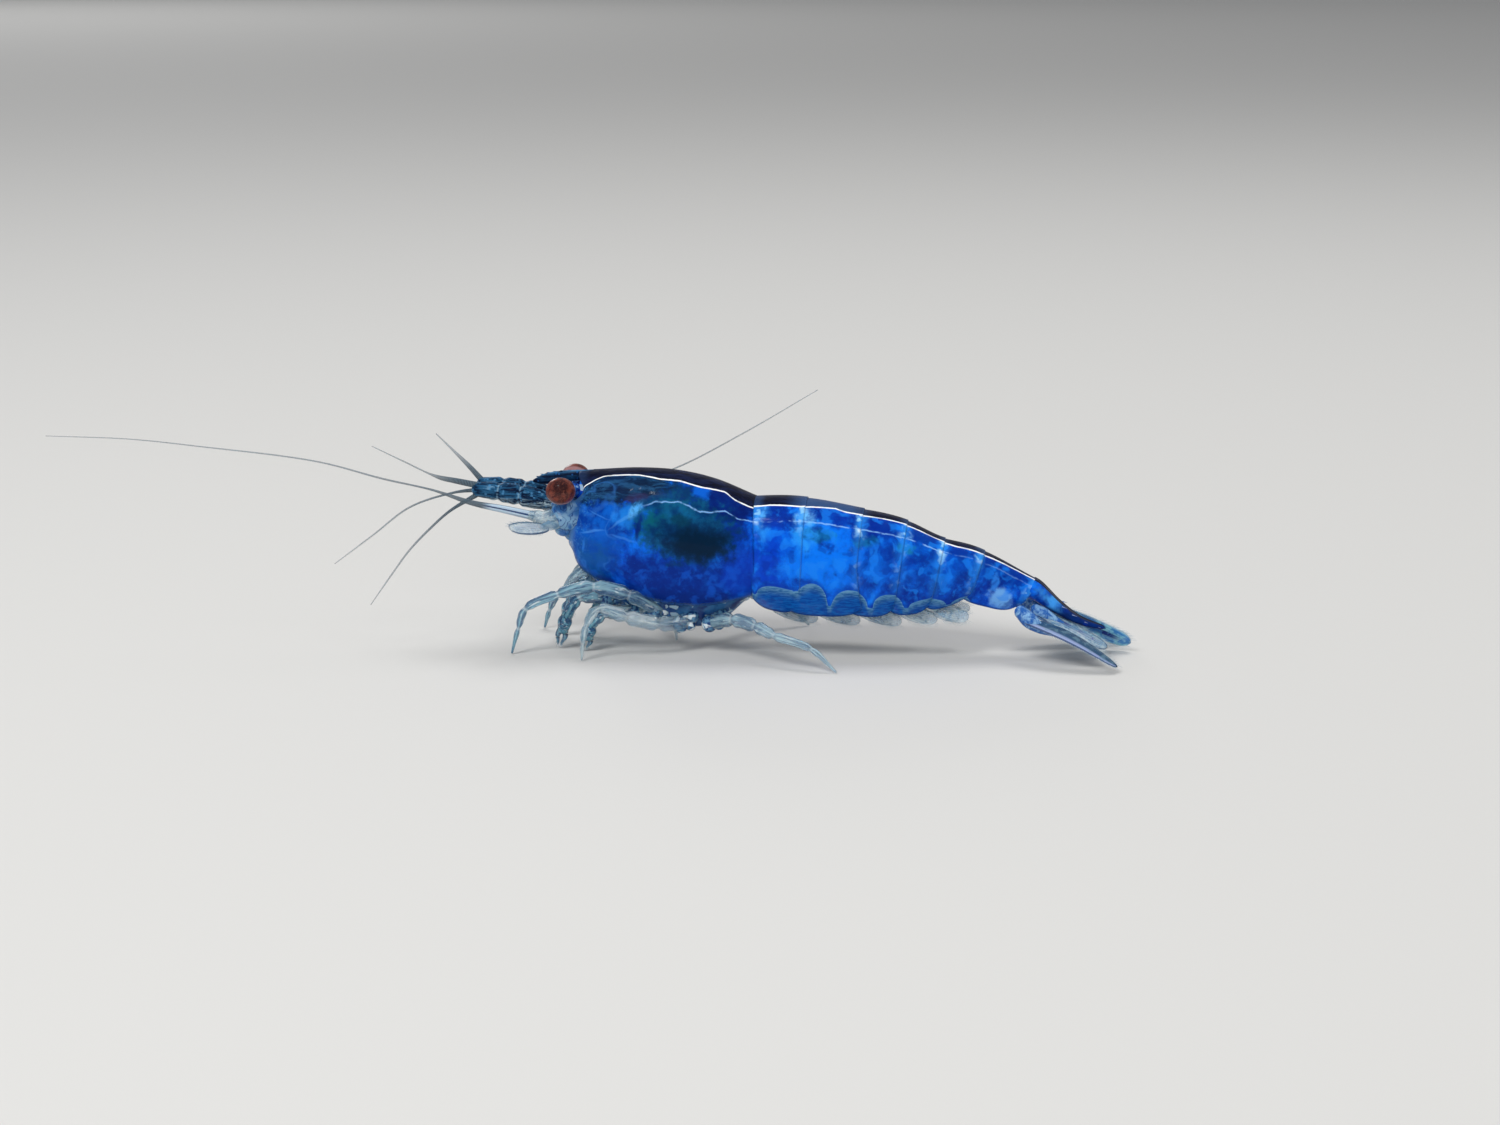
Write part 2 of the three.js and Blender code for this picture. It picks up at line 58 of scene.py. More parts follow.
def smoothLine(points):  # a centripetal curve; share 0 to 1 steps evenly from point to point
    knots = [Vector(point) for point in points]
    knots = [2 * knots[0] - knots[1], *knots, 2 * knots[-1] - knots[-2]]
    steps = len(points) - 1

    def at(t):
        step = min(max(math.floor(t * steps), 0), steps - 1)
        w = t * steps - step
        before, start, end, after = knots[step:step + 4]
        gaps = [max((b - a).length ** 0.5, 1e-4) for a, b in ((before, start), (start, end), (end, after))]
        leave = (start - before) / gaps[0] - (end - before) / (gaps[0] + gaps[1]) + (end - start) / gaps[1]
        reach = (end - start) / gaps[1] - (after - start) / (gaps[1] + gaps[2]) + (after - end) / gaps[2]
        leave *= gaps[1]
        reach *= gaps[1]
        bend = 3 * (end - start) - 2 * leave - reach
        twist = 2 * (start - end) + leave + reach
        return start + leave * w + bend * w * w + twist * w ** 3

    return at


def readTable(pairs, t):  # straight steps between (place, value) pairs
    if t <= pairs[0][0]:
        return pairs[0][1]
    for (t0, v0), (t1, v1) in zip(pairs, pairs[1:]):
        if t <= t1:
            return v0 + (v1 - v0) * (t - t0) / (t1 - t0)
    return pairs[-1][1]


def bell(distance, width):
    return math.exp(-(distance / width) ** 2)


def mirrored(points, side):
    return [(x, y * side, *rest) for x, y, *rest in points]


def newSheet(along, around, place):  # a grid bent to shape; place(u, v) gives a spot and its marks
    bm = bmesh.new()
    bm.loops.layers.uv.new("lie")
    marks = bm.verts.layers.float_vector.new("marks")
    bmesh.ops.create_grid(bm, x_segments=along, y_segments=around, size=0.5, calc_uvs=True)
    for vert in bm.verts:
        vert.co, vert[marks] = place(vert.co.x + 0.5, vert.co.y + 0.5)
    return bm


def sealed(bm):  # joins the seam and gathers each end into a pole
    bmesh.ops.remove_doubles(bm, verts=bm.verts, dist=1e-5)
    bmesh.ops.recalc_face_normals(bm, faces=bm.faces)
    return bm


def joined(*parts):  # several meshes as one
    whole = parts[0]
    for part in parts[1:]:
        carrier = bpy.data.meshes.new("carrier")
        part.to_mesh(carrier)
        part.free()
        whole.from_mesh(carrier)
        bpy.data.meshes.remove(carrier)
    return whole


def tube(path, along=24, around=14, side=upward, tint=0.5, tipTint=None, capRings=4, joints=(), pinch=0.22,
         width=0.14):
    # path(t) gives place and radius; the tube narrows at its joints and ends in domes
    rings = along + 2 * capRings
    rows = []
    for ring in range(rings + 1):
        t = min(max((ring - capRings) / along, 0), 1)
        here = path(t)
        spot = here.to_3d()
        ahead = (path(min(t + 0.01, 1)).to_3d() - path(max(t - 0.01, 0)).to_3d()).normalized()
        near = max([bell((spot - joint).length, width) for joint in joints], default=0)
        beside = max([bell((spot - joint).length - 2 * width, width) for joint in joints], default=0)
        radius = here.w * (1 - pinch * near + 0.25 * pinch * beside)
        end = max(capRings - ring, ring - capRings - along, 0)
        if end:
            turn = end / capRings * math.pi / 2
            spot += ahead * radius * math.sin(turn) * (-1 if ring < capRings else 1)
            radius *= math.cos(turn)
        across = (side - ahead * side.dot(ahead)).normalized()
        shade = tint if tipTint is None else tint + (tipTint - tint) * t
        rows.append((spot, radius, across, across.cross(ahead), Vector((t, near, shade))))

    def place(u, v):
        spot, radius, across, out, mark = rows[round(u * rings)]
        turn = 2 * math.pi * v
        return spot + radius * (math.cos(turn) * out + math.sin(turn) * across), mark

    return sealed(newSheet(rings, around, place))


def ball(centre, radii, around=20, along=14, tint=0.6):
    bm = bmesh.new()
    bm.loops.layers.uv.new("lie")
    marks = bm.verts.layers.float_vector.new("marks")
    bmesh.ops.create_uvsphere(bm, u_segments=around, v_segments=along, radius=1, calc_uvs=True)
    for vert in bm.verts:
        vert[marks] = Vector((0, 0, tint))
    bmesh.ops.scale(bm, vec=radii, verts=bm.verts)
    bmesh.ops.translate(bm, vec=centre, verts=bm.verts)
    return bm


def remarked(bm, mark):  # one and the same mark all over
    marks = bm.verts.layers.float_vector["marks"]
    for vert in bm.verts:
        vert[marks] = Vector(mark)
    return bm


def pointedHair(bm, root, tip, radius, corners=3):
    way = tip - root
    turn = way.to_track_quat("Z", "Y").to_matrix().to_4x4()
    place = Matrix.Translation((root + tip) / 2) @ turn
    bmesh.ops.create_cone(bm, segments=corners, cap_ends=True, radius1=radius, radius2=radius * 0.12,
                          depth=way.length, matrix=place)


def finishPiece(name, bm, material, stands=()):
    bmesh.ops.translate(bm, vec=bodyShift, verts=bm.verts)
    bmesh.ops.scale(bm, vec=(0.001, 0.001, 0.001), verts=bm.verts)
    for face in bm.faces:
        face.smooth = True
    mesh = bpy.data.meshes.new(name)
    bm.to_mesh(mesh)
    bm.free()
    mesh.materials.append(material)
    piece = bpy.data.objects.new(name, mesh)
    bpy.context.scene.collection.objects.link(piece)
    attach(piece, "root")
    if stands:
        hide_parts(*stands)
    return piece


def tone(red, green, blue):  # a screen colour, 0 to 255, as the renderer's linear one
    def straight(value):
        share = value / 255
        return share / 12.92 if share <= 0.04045 else ((share + 0.055) / 1.055) ** 2.4
    return (straight(red), straight(green), straight(blue), 1)


class Paint:  # one material; its patterns are measured in millimetres from the layout's origin
    def __init__(self, name):
        self.material = bpy.data.materials.new(name)
        self.material.use_nodes = True
        self.tree = self.material.node_tree
        self.shader = self.tree.nodes["Principled BSDF"]
        spot = self.add("TexCoord").outputs["Object"]
        move = self.add("Mapping", Vector=spot, Location=-bodyShift, Scale=(1000, 1000, 1000))
        self.point = move.outputs["Vector"]

    def add(self, kind, settings=None, **inputs):
        node = self.tree.nodes.new("ShaderNode" + kind)
        for key, value in (settings or {}).items():
            setattr(node, key, value)
        for key, value in inputs.items():
            self.feed(node.inputs[key], value)
        return node

    def feed(self, socket, value):
        if isinstance(value, bpy.types.NodeSocket):
            self.tree.links.new(value, socket)
        else:
            socket.default_value = value

    def noise(self, size, detail=3, rough=0.55, warp=0.0, point=None):
        node = self.add("TexNoise", Vector=point or self.point, Scale=1 / size, Detail=detail,
                        Roughness=rough, Distortion=warp)
        return node.outputs["Fac"]

    def cells(self, size, point=None, feature="F1"):
        node = self.add("TexVoronoi", {"feature": feature}, Vector=point or self.point, Scale=1 / size)
        return node.outputs["Distance"]

    def flecks(self, size, lit):  # scattered spots, a share of them lit
        node = self.add("TexVoronoi", Vector=self.point, Scale=1 / size)
        pick = self.add("SeparateColor", Color=node.outputs["Color"]).outputs[0]
        chosen = self.math("LESS_THAN", pick, lit)
        return self.times(chosen, self.span(node.outputs["Distance"], 0.5, 0.3))

    def shards(self, size, lit, point):  # a share of the cells of a cracked pattern, clean edged
        node = self.add("TexVoronoi", Vector=point, Scale=1 / size)
        edge = self.add("TexVoronoi", {"feature": "DISTANCE_TO_EDGE"}, Vector=point, Scale=1 / size)
        pick = self.add("SeparateColor", Color=node.outputs["Color"]).outputs[0]
        return self.times(self.math("LESS_THAN", pick, lit), self.span(edge.outputs["Distance"], 0.03, 0.12))

    def stretched(self, scale, turn=(0, 0, 0)):  # the layout's space, drawn out along some axes
        return self.add("Mapping", Vector=self.point, Scale=scale, Rotation=turn).outputs["Vector"]

    def lengthwise(self, along, around):  # the piece's own map: u runs along it, v around it
        lie = self.add("UVMap", {"uv_map": "lie"}).outputs["UV"]
        return self.add("Mapping", Vector=lie, Scale=(along, around, 1)).outputs["Vector"]

    def math(self, operation, first, second=0.0):
        node = self.add("Math", {"operation": operation})
        self.feed(node.inputs[0], first)
        self.feed(node.inputs[1], second)
        return node.outputs[0]

    def span(self, value, low, high):  # 0 at low, 1 at high, smooth between
        node = self.add("MapRange", {"interpolation_type": "SMOOTHSTEP"}, Value=value)
        self.feed(node.inputs["From Min"], low)
        self.feed(node.inputs["From Max"], high)
        return node.outputs[0]

    def blend(self, share, first, second):
        node = self.add("Mix", {"data_type": "RGBA"})
        for index, value in ((0, share), (6, first), (7, second)):
            self.feed(node.inputs[index], value)
        return node.outputs[2]

    def times(self, *values):
        product = values[0]
        for value in values[1:]:
            product = self.math("MULTIPLY", product, value)
        return product

    def over(self, colour, ink, *shares):  # an ink laid over a colour, as strongly as its shares allow
        return self.blend(self.times(*shares), colour, ink)

    def axis(self, index):  # millimetres along the layout's x, y or z
        return self.add("SeparateXYZ", Vector=self.point).outputs[index]

    def fromOval(self, point, place, size, tilt=0):  # 0 in an oval's middle, 1 on its outline, for every y
        node = self.add("Mapping", {"vector_type": "TEXTURE"}, Vector=point, Location=(place[0], 0, place[1]),
                        Rotation=(0, math.radians(tilt), 0), Scale=(size[0], 1000, size[1]))
        length = self.add("VectorMath", {"operation": "LENGTH"})
        self.feed(length.inputs[0], node.outputs["Vector"])
        return length.outputs["Value"]

    def warped(self, size, reach, point=None):  # the layout's space with soft random bends
        node = self.add("TexNoise", Vector=point or self.point, Scale=1 / size, Detail=2)
        shift = self.add("VectorMath", {"operation": "SUBTRACT"})
        self.feed(shift.inputs[0], node.outputs["Color"])
        self.feed(shift.inputs[1], (0.5, 0.5, 0.5))
        grown = self.add("VectorMath", {"operation": "SCALE"}, Scale=2 * reach)
        self.feed(grown.inputs[0], shift.outputs[0])
        total = self.add("VectorMath", {"operation": "ADD"})
        self.feed(total.inputs[0], point or self.point)
        self.feed(total.inputs[1], grown.outputs[0])
        return total.outputs[0]

    def patches(self, colour, rows):  # ragged ovals: ink, x, z, half length, half height, fade, share, tilt
        bent = self.warped(0.9, 0.3)
        ragged = self.times(self.math("SUBTRACT", self.noise(0.3, 3, 0.6), 0.5), 1.1)
        for ink, x, z, wide, high, fade, share, *tilt in rows:
            reach = self.math("ADD", self.fromOval(bent, (x, z), (wide, high), *tilt), ragged)
            colour = self.over(colour, ink, self.span(reach, 1 + fade / 2, 1 - fade / 2), share)
        return colour

    def strokes(self, colour, rows):  # soft lines: ink, x, z, half length, half width, tilt, share
        bent = self.warped(0.8, 0.12)
        for ink, x, z, long, wide, tilt, share in rows:
            reach = self.fromOval(bent, (x, z), (long, wide), tilt)
            colour = self.over(colour, ink, self.span(reach, 1.0, 0.3), share)
        return colour

    def marks(self, name="marks"):
        attribute = self.add("Attribute", {"attribute_name": name}).outputs["Vector"]
        return self.add("SeparateXYZ", Vector=attribute).outputs

    def bump(self, height, reach):  # reach in millimetres
        return self.add("Bump", Height=height, Distance=reach / 1000, Strength=1.0).outputs["Normal"]

    def finish(self, colour, rough, normal, alpha=1.0, **changes):
        wet = {"Coat Weight": 0.09, "Coat Roughness": 0.1, "Specular IOR Level": 0.05, "IOR": 1.45,
               "Subsurface Weight": 0.2, "Subsurface Radius": (0.3, 0.7, 1.0), "Subsurface Scale": 0.0003}
        wet.update({key.replace("_", " "): value for key, value in changes.items()})
        for key, value in {"Base Color": colour, "Roughness": rough, "Normal": normal, "Alpha": alpha,
                           **wet}.items():
            self.feed(self.shader.inputs[key], value)
        return self.material


def veinLines(paint, noise):  # thin lines where a noise crosses its middle value
    return paint.span(paint.math("ABSOLUTE", paint.math("SUBTRACT", noise, 0.5)), 0.03, 0.0)


def blueGround(paint):  # cloudy royal blue flesh: soft dark cells, azure light between them
    inks = {"deep": tone(2, 44, 140), "royal": tone(2, 74, 196), "azure": tone(8, 112, 232),
            "dark": tone(2, 34, 122)}
    clouds = paint.noise(1.3, 4, 0.6, 0.6)
    fine = paint.noise(0.62, 3, 0.5, 0.2)
    spots = paint.noise(0.34, 2, 0.45)
    grain = paint.noise(0.14, 2, 0.5)
    colour = paint.blend(paint.span(clouds, 0.36, 0.62), inks["deep"], inks["royal"])
    colour = paint.over(colour, inks["azure"], paint.span(fine, 0.46, 0.68), 0.65)
    colour = paint.over(colour, inks["azure"], paint.span(spots, 0.5, 0.68), 0.5)
    colour = paint.over(colour, inks["dark"], paint.span(fine, 0.5, 0.34), 0.6)
    colour = paint.over(colour, inks["dark"], paint.span(spots, 0.48, 0.34), paint.span(clouds, 0.7, 0.36),
                        0.6)
    colour = paint.over(colour, inks["azure"], paint.span(grain, 0.58, 0.7), 0.3)
    return colour, clouds, fine


def backMarkings(paint, colour, marks, paintedSheen, lined=1.0, sided=1.0):
    # the near black band along the back with a painted sheen laid on it, its white border line and a fainter
    # line below it
    values = {"band": tone(6, 10, 32), "bandLight": tone(19, 28, 60), "bandPaintedSheen": tone(50, 78, 122),
              "line": tone(244, 248, 250), "lineWidth": 0.074,
              "side": tone(126, 176, 232), "sideWidth": 0.066}
    backLine, sideLine = marks[0], marks[1]
    streaks = paint.noise(0.3, 3, 0.6, 0.3, paint.stretched((0.25, 1, 1)))
    band = paint.blend(paint.span(streaks, 0.42, 0.66), values["band"], values["bandLight"])
    # painted sheen: a lighter blue on the dark band, standing in for a reflection
    band = paint.over(band, values["bandPaintedSheen"], paintedSheen)
    colour = paint.over(colour, band, paint.span(backLine, 0.012, -0.035))
    wobble = paint.math("SUBTRACT", paint.noise(0.35, 2), 0.5)
    near = paint.math("ABSOLUTE", paint.math("ADD", backLine, paint.times(wobble, 0.06)))
    width = paint.math("ADD", values["lineWidth"], paint.times(wobble, 0.05))
    breaks = paint.math("ADD", 0.65, paint.times(paint.span(paint.noise(0.55, 2), 0.34, 0.46), 0.35))
    colour = paint.over(colour, values["line"], paint.span(near, width, 0.02), breaks, lined)
    near = paint.math("ABSOLUTE", paint.math("ADD", sideLine, paint.times(wobble, 0.16)))
    broken = paint.span(paint.noise(0.6, 3), 0.34, 0.52)
    return paint.over(colour, values["side"], paint.span(near, values["sideWidth"], 0.0), broken, sided, 0.85)


def finishShell(paint, colour, fine, alpha):  # the wet, very slightly uneven surface of every shell plate
    bumps = paint.math("ADD", paint.noise(0.7, 3), paint.times(fine, 0.2))
    rough = paint.math("ADD", 0.26, paint.times(fine, 0.18))
    return paint.finish(colour, rough, paint.bump(bumps, 0.05), alpha)


def paintCarapace():
    paint = Paint("shrimpCarapace")
    marks = paint.marks()
    front, _, lower = paint.marks("rims")  # millimetres from the plate's edges
    colour, clouds, fine = blueGround(paint)
    streaks = paint.noise(0.3, 4, 0.65, 0.5, paint.stretched((0.35, 1, 1.3), (0, 0.35, 0)))
    slate = paint.blend(paint.span(streaks, 0.42, 0.62), tone(8, 30, 58), tone(28, 70, 108))
    slate = paint.over(slate, tone(8, 22, 48), paint.span(streaks, 0.34, 0.26))
    teal = paint.blend(paint.span(fine, 0.35, 0.65), tone(2, 52, 96), tone(12, 88, 124))
    lit = paint.blend(paint.span(fine, 0.38, 0.6), tone(2, 54, 146), tone(10, 90, 190))
    half = paint.span(fine, 0.36, 0.6)
    colour = paint.patches(colour, [
        # the lower half: mid blue in front, deep navy blue below, royal blue behind
        (tone(5, 70, 156), -7.1, 5.0, 1.6, 1.9, 0.7, 0.8),
        (tone(2, 38, 124), -3.1, 3.5, 2.9, 1.45, 0.8, 0.75),
        (tone(1, 36, 118), -3.4, 2.6, 3.2, 0.5, 0.9, 0.8),
        (tone(14, 76, 132), -7.2, 4.2, 1.1, 0.9, 0.8, paint.times(half, 0.8)),
        (tone(3, 56, 176), -0.3, 4.2, 0.75, 1.5, 0.8, 0.75),
        (tone(2, 36, 124), -0.7, 6.0, 0.9, 0.7, 0.8, 0.7),
        # the cheek, lighter behind the eye
        (lit, -6.3, 6.2, 1.6, 0.9, 0.8, 0.85),
        (tone(30, 124, 220), -5.6, 6.3, 0.4, 0.5, 0.8, paint.times(half, 0.85), 20),
        (tone(24, 116, 206), -5.15, 6.45, 0.42, 0.62, 0.6, 0.8, 30),
        (tone(84, 170, 236), -4.85, 6.7, 0.26, 0.46, 0.7, 0.8, 35),
        (tone(2, 30, 120), -4.72, 5.95, 0.16, 0.6, 0.8, 0.8, 14),
        # dark blue along the back, slate in front of it
        (tone(2, 24, 92), -1.2, 7.0, 1.9, 0.75, 0.6, 0.9, 14),
        (tone(6, 50, 92), -3.9, 7.4, 1.6, 0.75, 0.6, 0.9, 4),
        (slate, -6.1, 7.6, 2.8, 0.72, 0.45, 0.97, -3),
        (tone(50, 44, 84), -4.9, 7.14, 0.5, 0.16, 0.9, 0.6, -4),
        # the organ showing through: a teal ring around a nearly black middle
        (teal, -2.75, 5.85, 2.15, 1.35, 0.45, 0.92, 8),
        (tone(4, 84, 96), -4.0, 6.15, 0.5, 0.5, 0.8, paint.times(half, 0.85)),
        (tone(1, 36, 78), -2.2, 5.35, 1.8, 1.05, 0.9, 0.88, 6),
        (tone(0, 27, 50), -2.1, 5.25, 1.3, 0.62, 1.0, 0.92, 6),
        (tone(3, 54, 72), -2.9, 6.25, 0.55, 0.3, 0.8, 0.6),
        (tone(10, 90, 196), -2.0, 7.4, 0.36, 0.34, 0.8, 0.9),
    ])
    colour = paint.strokes(colour, [
        (tone(72, 146, 226), -6.9, 5.6, 0.75, 0.08, -9, 0.45),
        (tone(84, 160, 232), -5.45, 6.2, 1.05, 0.1, -34, 0.32),
        (tone(60, 134, 220), -5.5, 5.38, 0.9, 0.08, 10, 0.4),
        (tone(60, 134, 220), -6.6, 6.35, 0.7, 0.05, 24, 0.4),
        (tone(2, 24, 104), -4.76, 5.95, 0.16, 0.75, 10, 0.75),
        (tone(40, 120, 214), -7.3, 4.9, 0.08, 0.5, 12, 0.5),
    ])
    low = paint.times(paint.span(paint.axis(2), 4.9, 3.6), paint.span(fine, 0.5, 0.62), 0.45)
    colour = paint.over(colour, tone(16, 84, 200), low)
    veins = veinLines(paint, paint.noise(1.5, 2, 0.5))
    forward = paint.span(front, 3.0, 2.2)
    colour = paint.over(colour, tone(50, 116, 196), veins, forward, clouds, 0.6)
    grains = paint.times(paint.span(paint.noise(0.11, 3, 0.7), 0.54, 0.66), paint.span(front, 2.2, 0.4), 0.6)
    colour = paint.over(colour, tone(60, 134, 190), grains)
    # painted sheen: the band is lightened near the front edge, a painted reflection
    paintedSheen = paint.times(paint.span(front, 0.9, 0.2), 0.25)
    colour = backMarkings(paint, colour, marks, paintedSheen, sided=paint.span(front, 3.5, 4.1))
    # towards the face the shell clears to a pale steel blue
    side = paint.span(marks[0], 0.1, 0.5)
    clear = paint.times(paint.span(front, 0.75, 0.05), side)
    colour = paint.over(colour, tone(86, 136, 190), clear, 0.85)
    colour = paint.over(colour, tone(60, 110, 160), paint.span(lower, 0.22, 0.0), 0.6)
    hem = paint.times(paint.span(lower, 0.45, 0.0), 0.4)
    alpha = paint.math("SUBTRACT", 1, paint.math("MAXIMUM", paint.times(clear, 0.45), hem))
    return finishShell(paint, colour, fine, alpha)


def paintTailPlates():
    paint = Paint("shrimpTailPlates")
    marks = paint.marks()
    front, back, lower = paint.marks("rims")  # millimetres from the three edges
    belowFlesh = marks[2]
    colour, clouds, fine = blueGround(paint)
    light = paint.times(paint.span(fine, 0.32, 0.58), 0.8)
    teal = paint.blend(paint.span(fine, 0.35, 0.65), tone(4, 70, 122), tone(20, 112, 158))
    # navy blue between the two lines
    strip = paint.times(paint.span(marks[0], 0.0, 0.15), paint.span(marks[1], 0.1, -0.1),
                        paint.span(fine, 0.74, 0.42), 0.85)
    colour = paint.over(colour, tone(3, 40, 132), strip)
    colour = paint.patches(colour, [
        (tone(2, 62, 192), 1.2, 4.5, 1.0, 1.5, 0.8, paint.times(paint.span(fine, 0.66, 0.44), 0.85)),
        (tone(5, 114, 236), 3.2, 4.6, 1.5, 1.6, 0.9, paint.times(paint.span(fine, 0.26, 0.54), 0.9)),
        (tone(6, 104, 222), 5.4, 3.9, 1.0, 0.9, 1.0, paint.times(paint.span(fine, 0.28, 0.58), 0.85)),
        (tone(3, 44, 150), 3.9, 6.3, 0.7, 0.35, 0.8, 0.7),
        (tone(3, 40, 140), 5.9, 5.9, 0.7, 0.4, 0.8, 0.75),
        (tone(5, 66, 158), 8.0, 4.6, 2.4, 1.6, 0.9, 0.45),
        (tone(4, 46, 132), 11.6, 4.3, 1.6, 0.9, 0.8, 0.7),
        (teal, 3.1, 5.65, 0.8, 0.26, 0.6, 0.8, 8),
        (teal, 5.35, 5.4, 0.5, 0.24, 0.6, 0.75, 8),
        (teal, 7.0, 5.1, 0.42, 0.2, 0.6, 0.8, 10),
        (tone(40, 142, 232), 0.8, 6.2, 0.28, 0.75, 0.8, light),
        (tone(96, 176, 236), 0.75, 6.4, 0.2, 0.4, 0.8, light),
        (tone(40, 146, 236), 2.6, 5.9, 0.55, 0.9, 0.7, light),
        (tone(130, 206, 246), 2.6, 6.35, 0.42, 0.3, 0.8, light),
        (tone(108, 168, 232), 11.3, 2.75, 0.52, 0.47, 0.8, paint.times(paint.span(fine, 0.2, 0.5), 0.9), 30),
        (tone(40, 120, 214), 11.05, 3.55, 0.2, 0.4, 0.6, 0.8),
        (tone(4, 30, 84), 15.2, 2.0, 2.3, 1.7, 0.5, 0.92),
        (tone(1, 62, 168), 13.7, 2.75, 0.55, 0.3, 0.8, 0.7, 40),
        # painted highlight: the azure oval on the telson
        (tone(64, 150, 226), 13.5, 2.62, 0.6, 0.27, 1.2, paint.times(paint.span(fine, 0.3, 0.56), 0.9), 45),
    ])
    # clear and dark cells of colour in the muscle
    along = paint.axis(0)
    blobs = paint.noise(0.6, 2, 0.45, 0.4)
    muscle = paint.times(paint.span(along, 14.0, 12.8), 0.5)
    colour = paint.over(colour, tone(24, 126, 234), paint.span(blobs, 0.54, 0.64), muscle)
    colour = paint.over(colour, tone(2, 42, 142), paint.span(blobs, 0.45, 0.36), 0.5)
    # the soft joints show through as pale upright bands, brightest high on the side
    height = paint.span(marks[0], 2.0, 0.4)
    rear = paint.span(along, 3.0, 5.0)
    ragged = paint.times(paint.math("SUBTRACT", fine, 0.5), 0.5)
    band = paint.math("MAXIMUM", paint.span(paint.math("ADD", front, ragged), 0.7, 0.22),
                      paint.span(paint.math("ADD", back, ragged), 0.45, 0.05))
    share = paint.math("ADD", paint.times(rear, 0.2), paint.times(height, 0.65))
    colour = paint.over(colour, tone(44, 138, 228), band, paint.math("ADD", 0.03, share))
    beads = paint.times(paint.span(paint.noise(0.42, 2, 0.5), 0.54, 0.66), band, share)
    colour = paint.over(colour, tone(150, 206, 240), beads)
    # below the scalloped edge of the muscle the side plates are clear
    lines = paint.noise(0.1, 3, 0.5, 0.3, paint.stretched((0.3, 1, 1.5)))
    clear = paint.blend(paint.span(lines, 0.36, 0.64), tone(4, 66, 152), tone(14, 96, 180))
    pane = paint.blend(paint.span(lines, 0.36, 0.64), tone(44, 102, 150), tone(98, 146, 176))
    cloudy = paint.math("ADD", 0.5, paint.times(clouds, 0.8))
    clear = paint.over(clear, pane, paint.span(belowFlesh, 0.62, 0.08), cloudy, 0.9)
    colour = paint.over(colour, tone(3, 44, 142), paint.span(belowFlesh, -0.35, -0.03), 0.55)
    colour = paint.over(colour, clear, paint.span(belowFlesh, -0.01, 0.05))
    rim = paint.times(paint.span(belowFlesh, 0.0, 0.05), paint.span(belowFlesh, 0.13, 0.06), 0.18)
    colour = paint.over(colour, tone(110, 166, 206), rim)
    # a painted sheen lightens the band on the second plate and over the joints; the lines fade out on the
    # last plates
    ovalOfPaintedSheen = paint.times(paint.span(paint.fromOval(paint.point, (3.6, 7), (1.5, 9)), 1.35, 0.6), 0.85)
    lined = paint.span(lower, 8.0, 7.0)
    fading = paint.math("SUBTRACT", 1, paint.times(paint.span(along, 8.4, 9.6), 0.65))
    paintedSheen = paint.math("MAXIMUM", ovalOfPaintedSheen, paint.times(band, 0.45))
    colour = backMarkings(paint, colour, marks, paintedSheen, lined, fading)
    # both lines swell to white spots where they cross a joint
    joint = paint.math("MAXIMUM", paint.span(front, 0.45, 0.2), paint.span(back, 0.25, 0.1))
    some = paint.span(paint.noise(1.1, 1), 0.36, 0.56)
    for line, width, share in ((marks[0], 0.15, 0.85), (marks[1], 0.18, 0.7)):
        near = paint.math("ABSOLUTE", paint.math("SUBTRACT", line, 0.05))
        colour = paint.over(colour, tone(214, 234, 248), paint.span(near, width, 0.0), joint, lined, some,
                            fading, share)
    # painted light: the rear edge of each plate is made paler, lifting the shade at its overhang
    colour = paint.over(colour, tone(70, 120, 190), paint.span(back, 0.06, 0.0), 0.25)
    colour = paint.over(colour, tone(8, 56, 134), paint.span(lower, 0.12, 0.02), 0.7)
    alpha = paint.math("SUBTRACT", 1, paint.times(paint.span(belowFlesh, 0.0, 0.3), 0.22))
    return finishShell(paint, colour, fine, alpha)


def paintRostrum():
    paint = Paint("shrimpRostrum")
    streaks = paint.noise(0.22, 3, 0.6, 0.3, paint.stretched((0.3, 1, 1.8)))
    colour = paint.blend(paint.span(streaks, 0.4, 0.65), tone(8, 18, 42), tone(20, 58, 92))
    around = paint.add("SeparateXYZ", Vector=paint.lengthwise(1, 1)).outputs[1]
    upper = paint.math("ABSOLUTE", paint.math("SUBTRACT", around, 0.5))  # 0.5 along the top edge
    # painted highlight: pale blue along the top edge, where light falls on the blade
    ridge = paint.times(paint.span(upper, 0.36, 0.46), paint.span(streaks, 0.36, 0.58), 0.7)
    colour = paint.over(colour, tone(84, 136, 178), ridge)
    keel = paint.times(paint.span(upper, 0.12, 0.04), paint.span(streaks, 0.3, 0.5), 0.6)
    colour = paint.over(colour, tone(96, 140, 176), keel)
    colour = paint.over(colour, tone(40, 110, 190), paint.flecks(0.12, 0.3), 0.35)
    return paint.finish(colour, paint.math("ADD", 0.24, paint.times(streaks, 0.2)),
                        paint.bump(paint.noise(0.16, 3), 0.03), Subsurface_Weight=0.1)


def paintFlesh():  # the soft body: blue above, a paler belly with painted glints among the hips
    paint = Paint("shrimpFlesh")
    colour, _, fine = blueGround(paint)
    cells = paint.cells(0.46, paint.warped(0.5, 0.2), "SMOOTH_F1")
    under = paint.blend(paint.span(fine, 0.36, 0.62), tone(8, 46, 108), tone(48, 100, 150))
    bent = paint.math("ADD", paint.axis(2), paint.times(fine, 0.5))
    colour = paint.over(colour, under, paint.span(bent, 3.5, 2.7))
    # painted glints: pale clean-edged spots among the hips
    bent = paint.warped(0.3, 0.12, paint.stretched((0.8, 1, 1.3)))
    colour = paint.over(colour, tone(170, 198, 214), paint.shards(0.3, 0.22, bent), 0.8)
    return paint.finish(colour, paint.math("ADD", 0.16, paint.times(fine, 0.2)),
                        paint.bump(paint.math("ADD", cells, paint.times(fine, 0.5)), 0.08),
                        Subsurface_Weight=0.35, Coat_Weight=0.5)


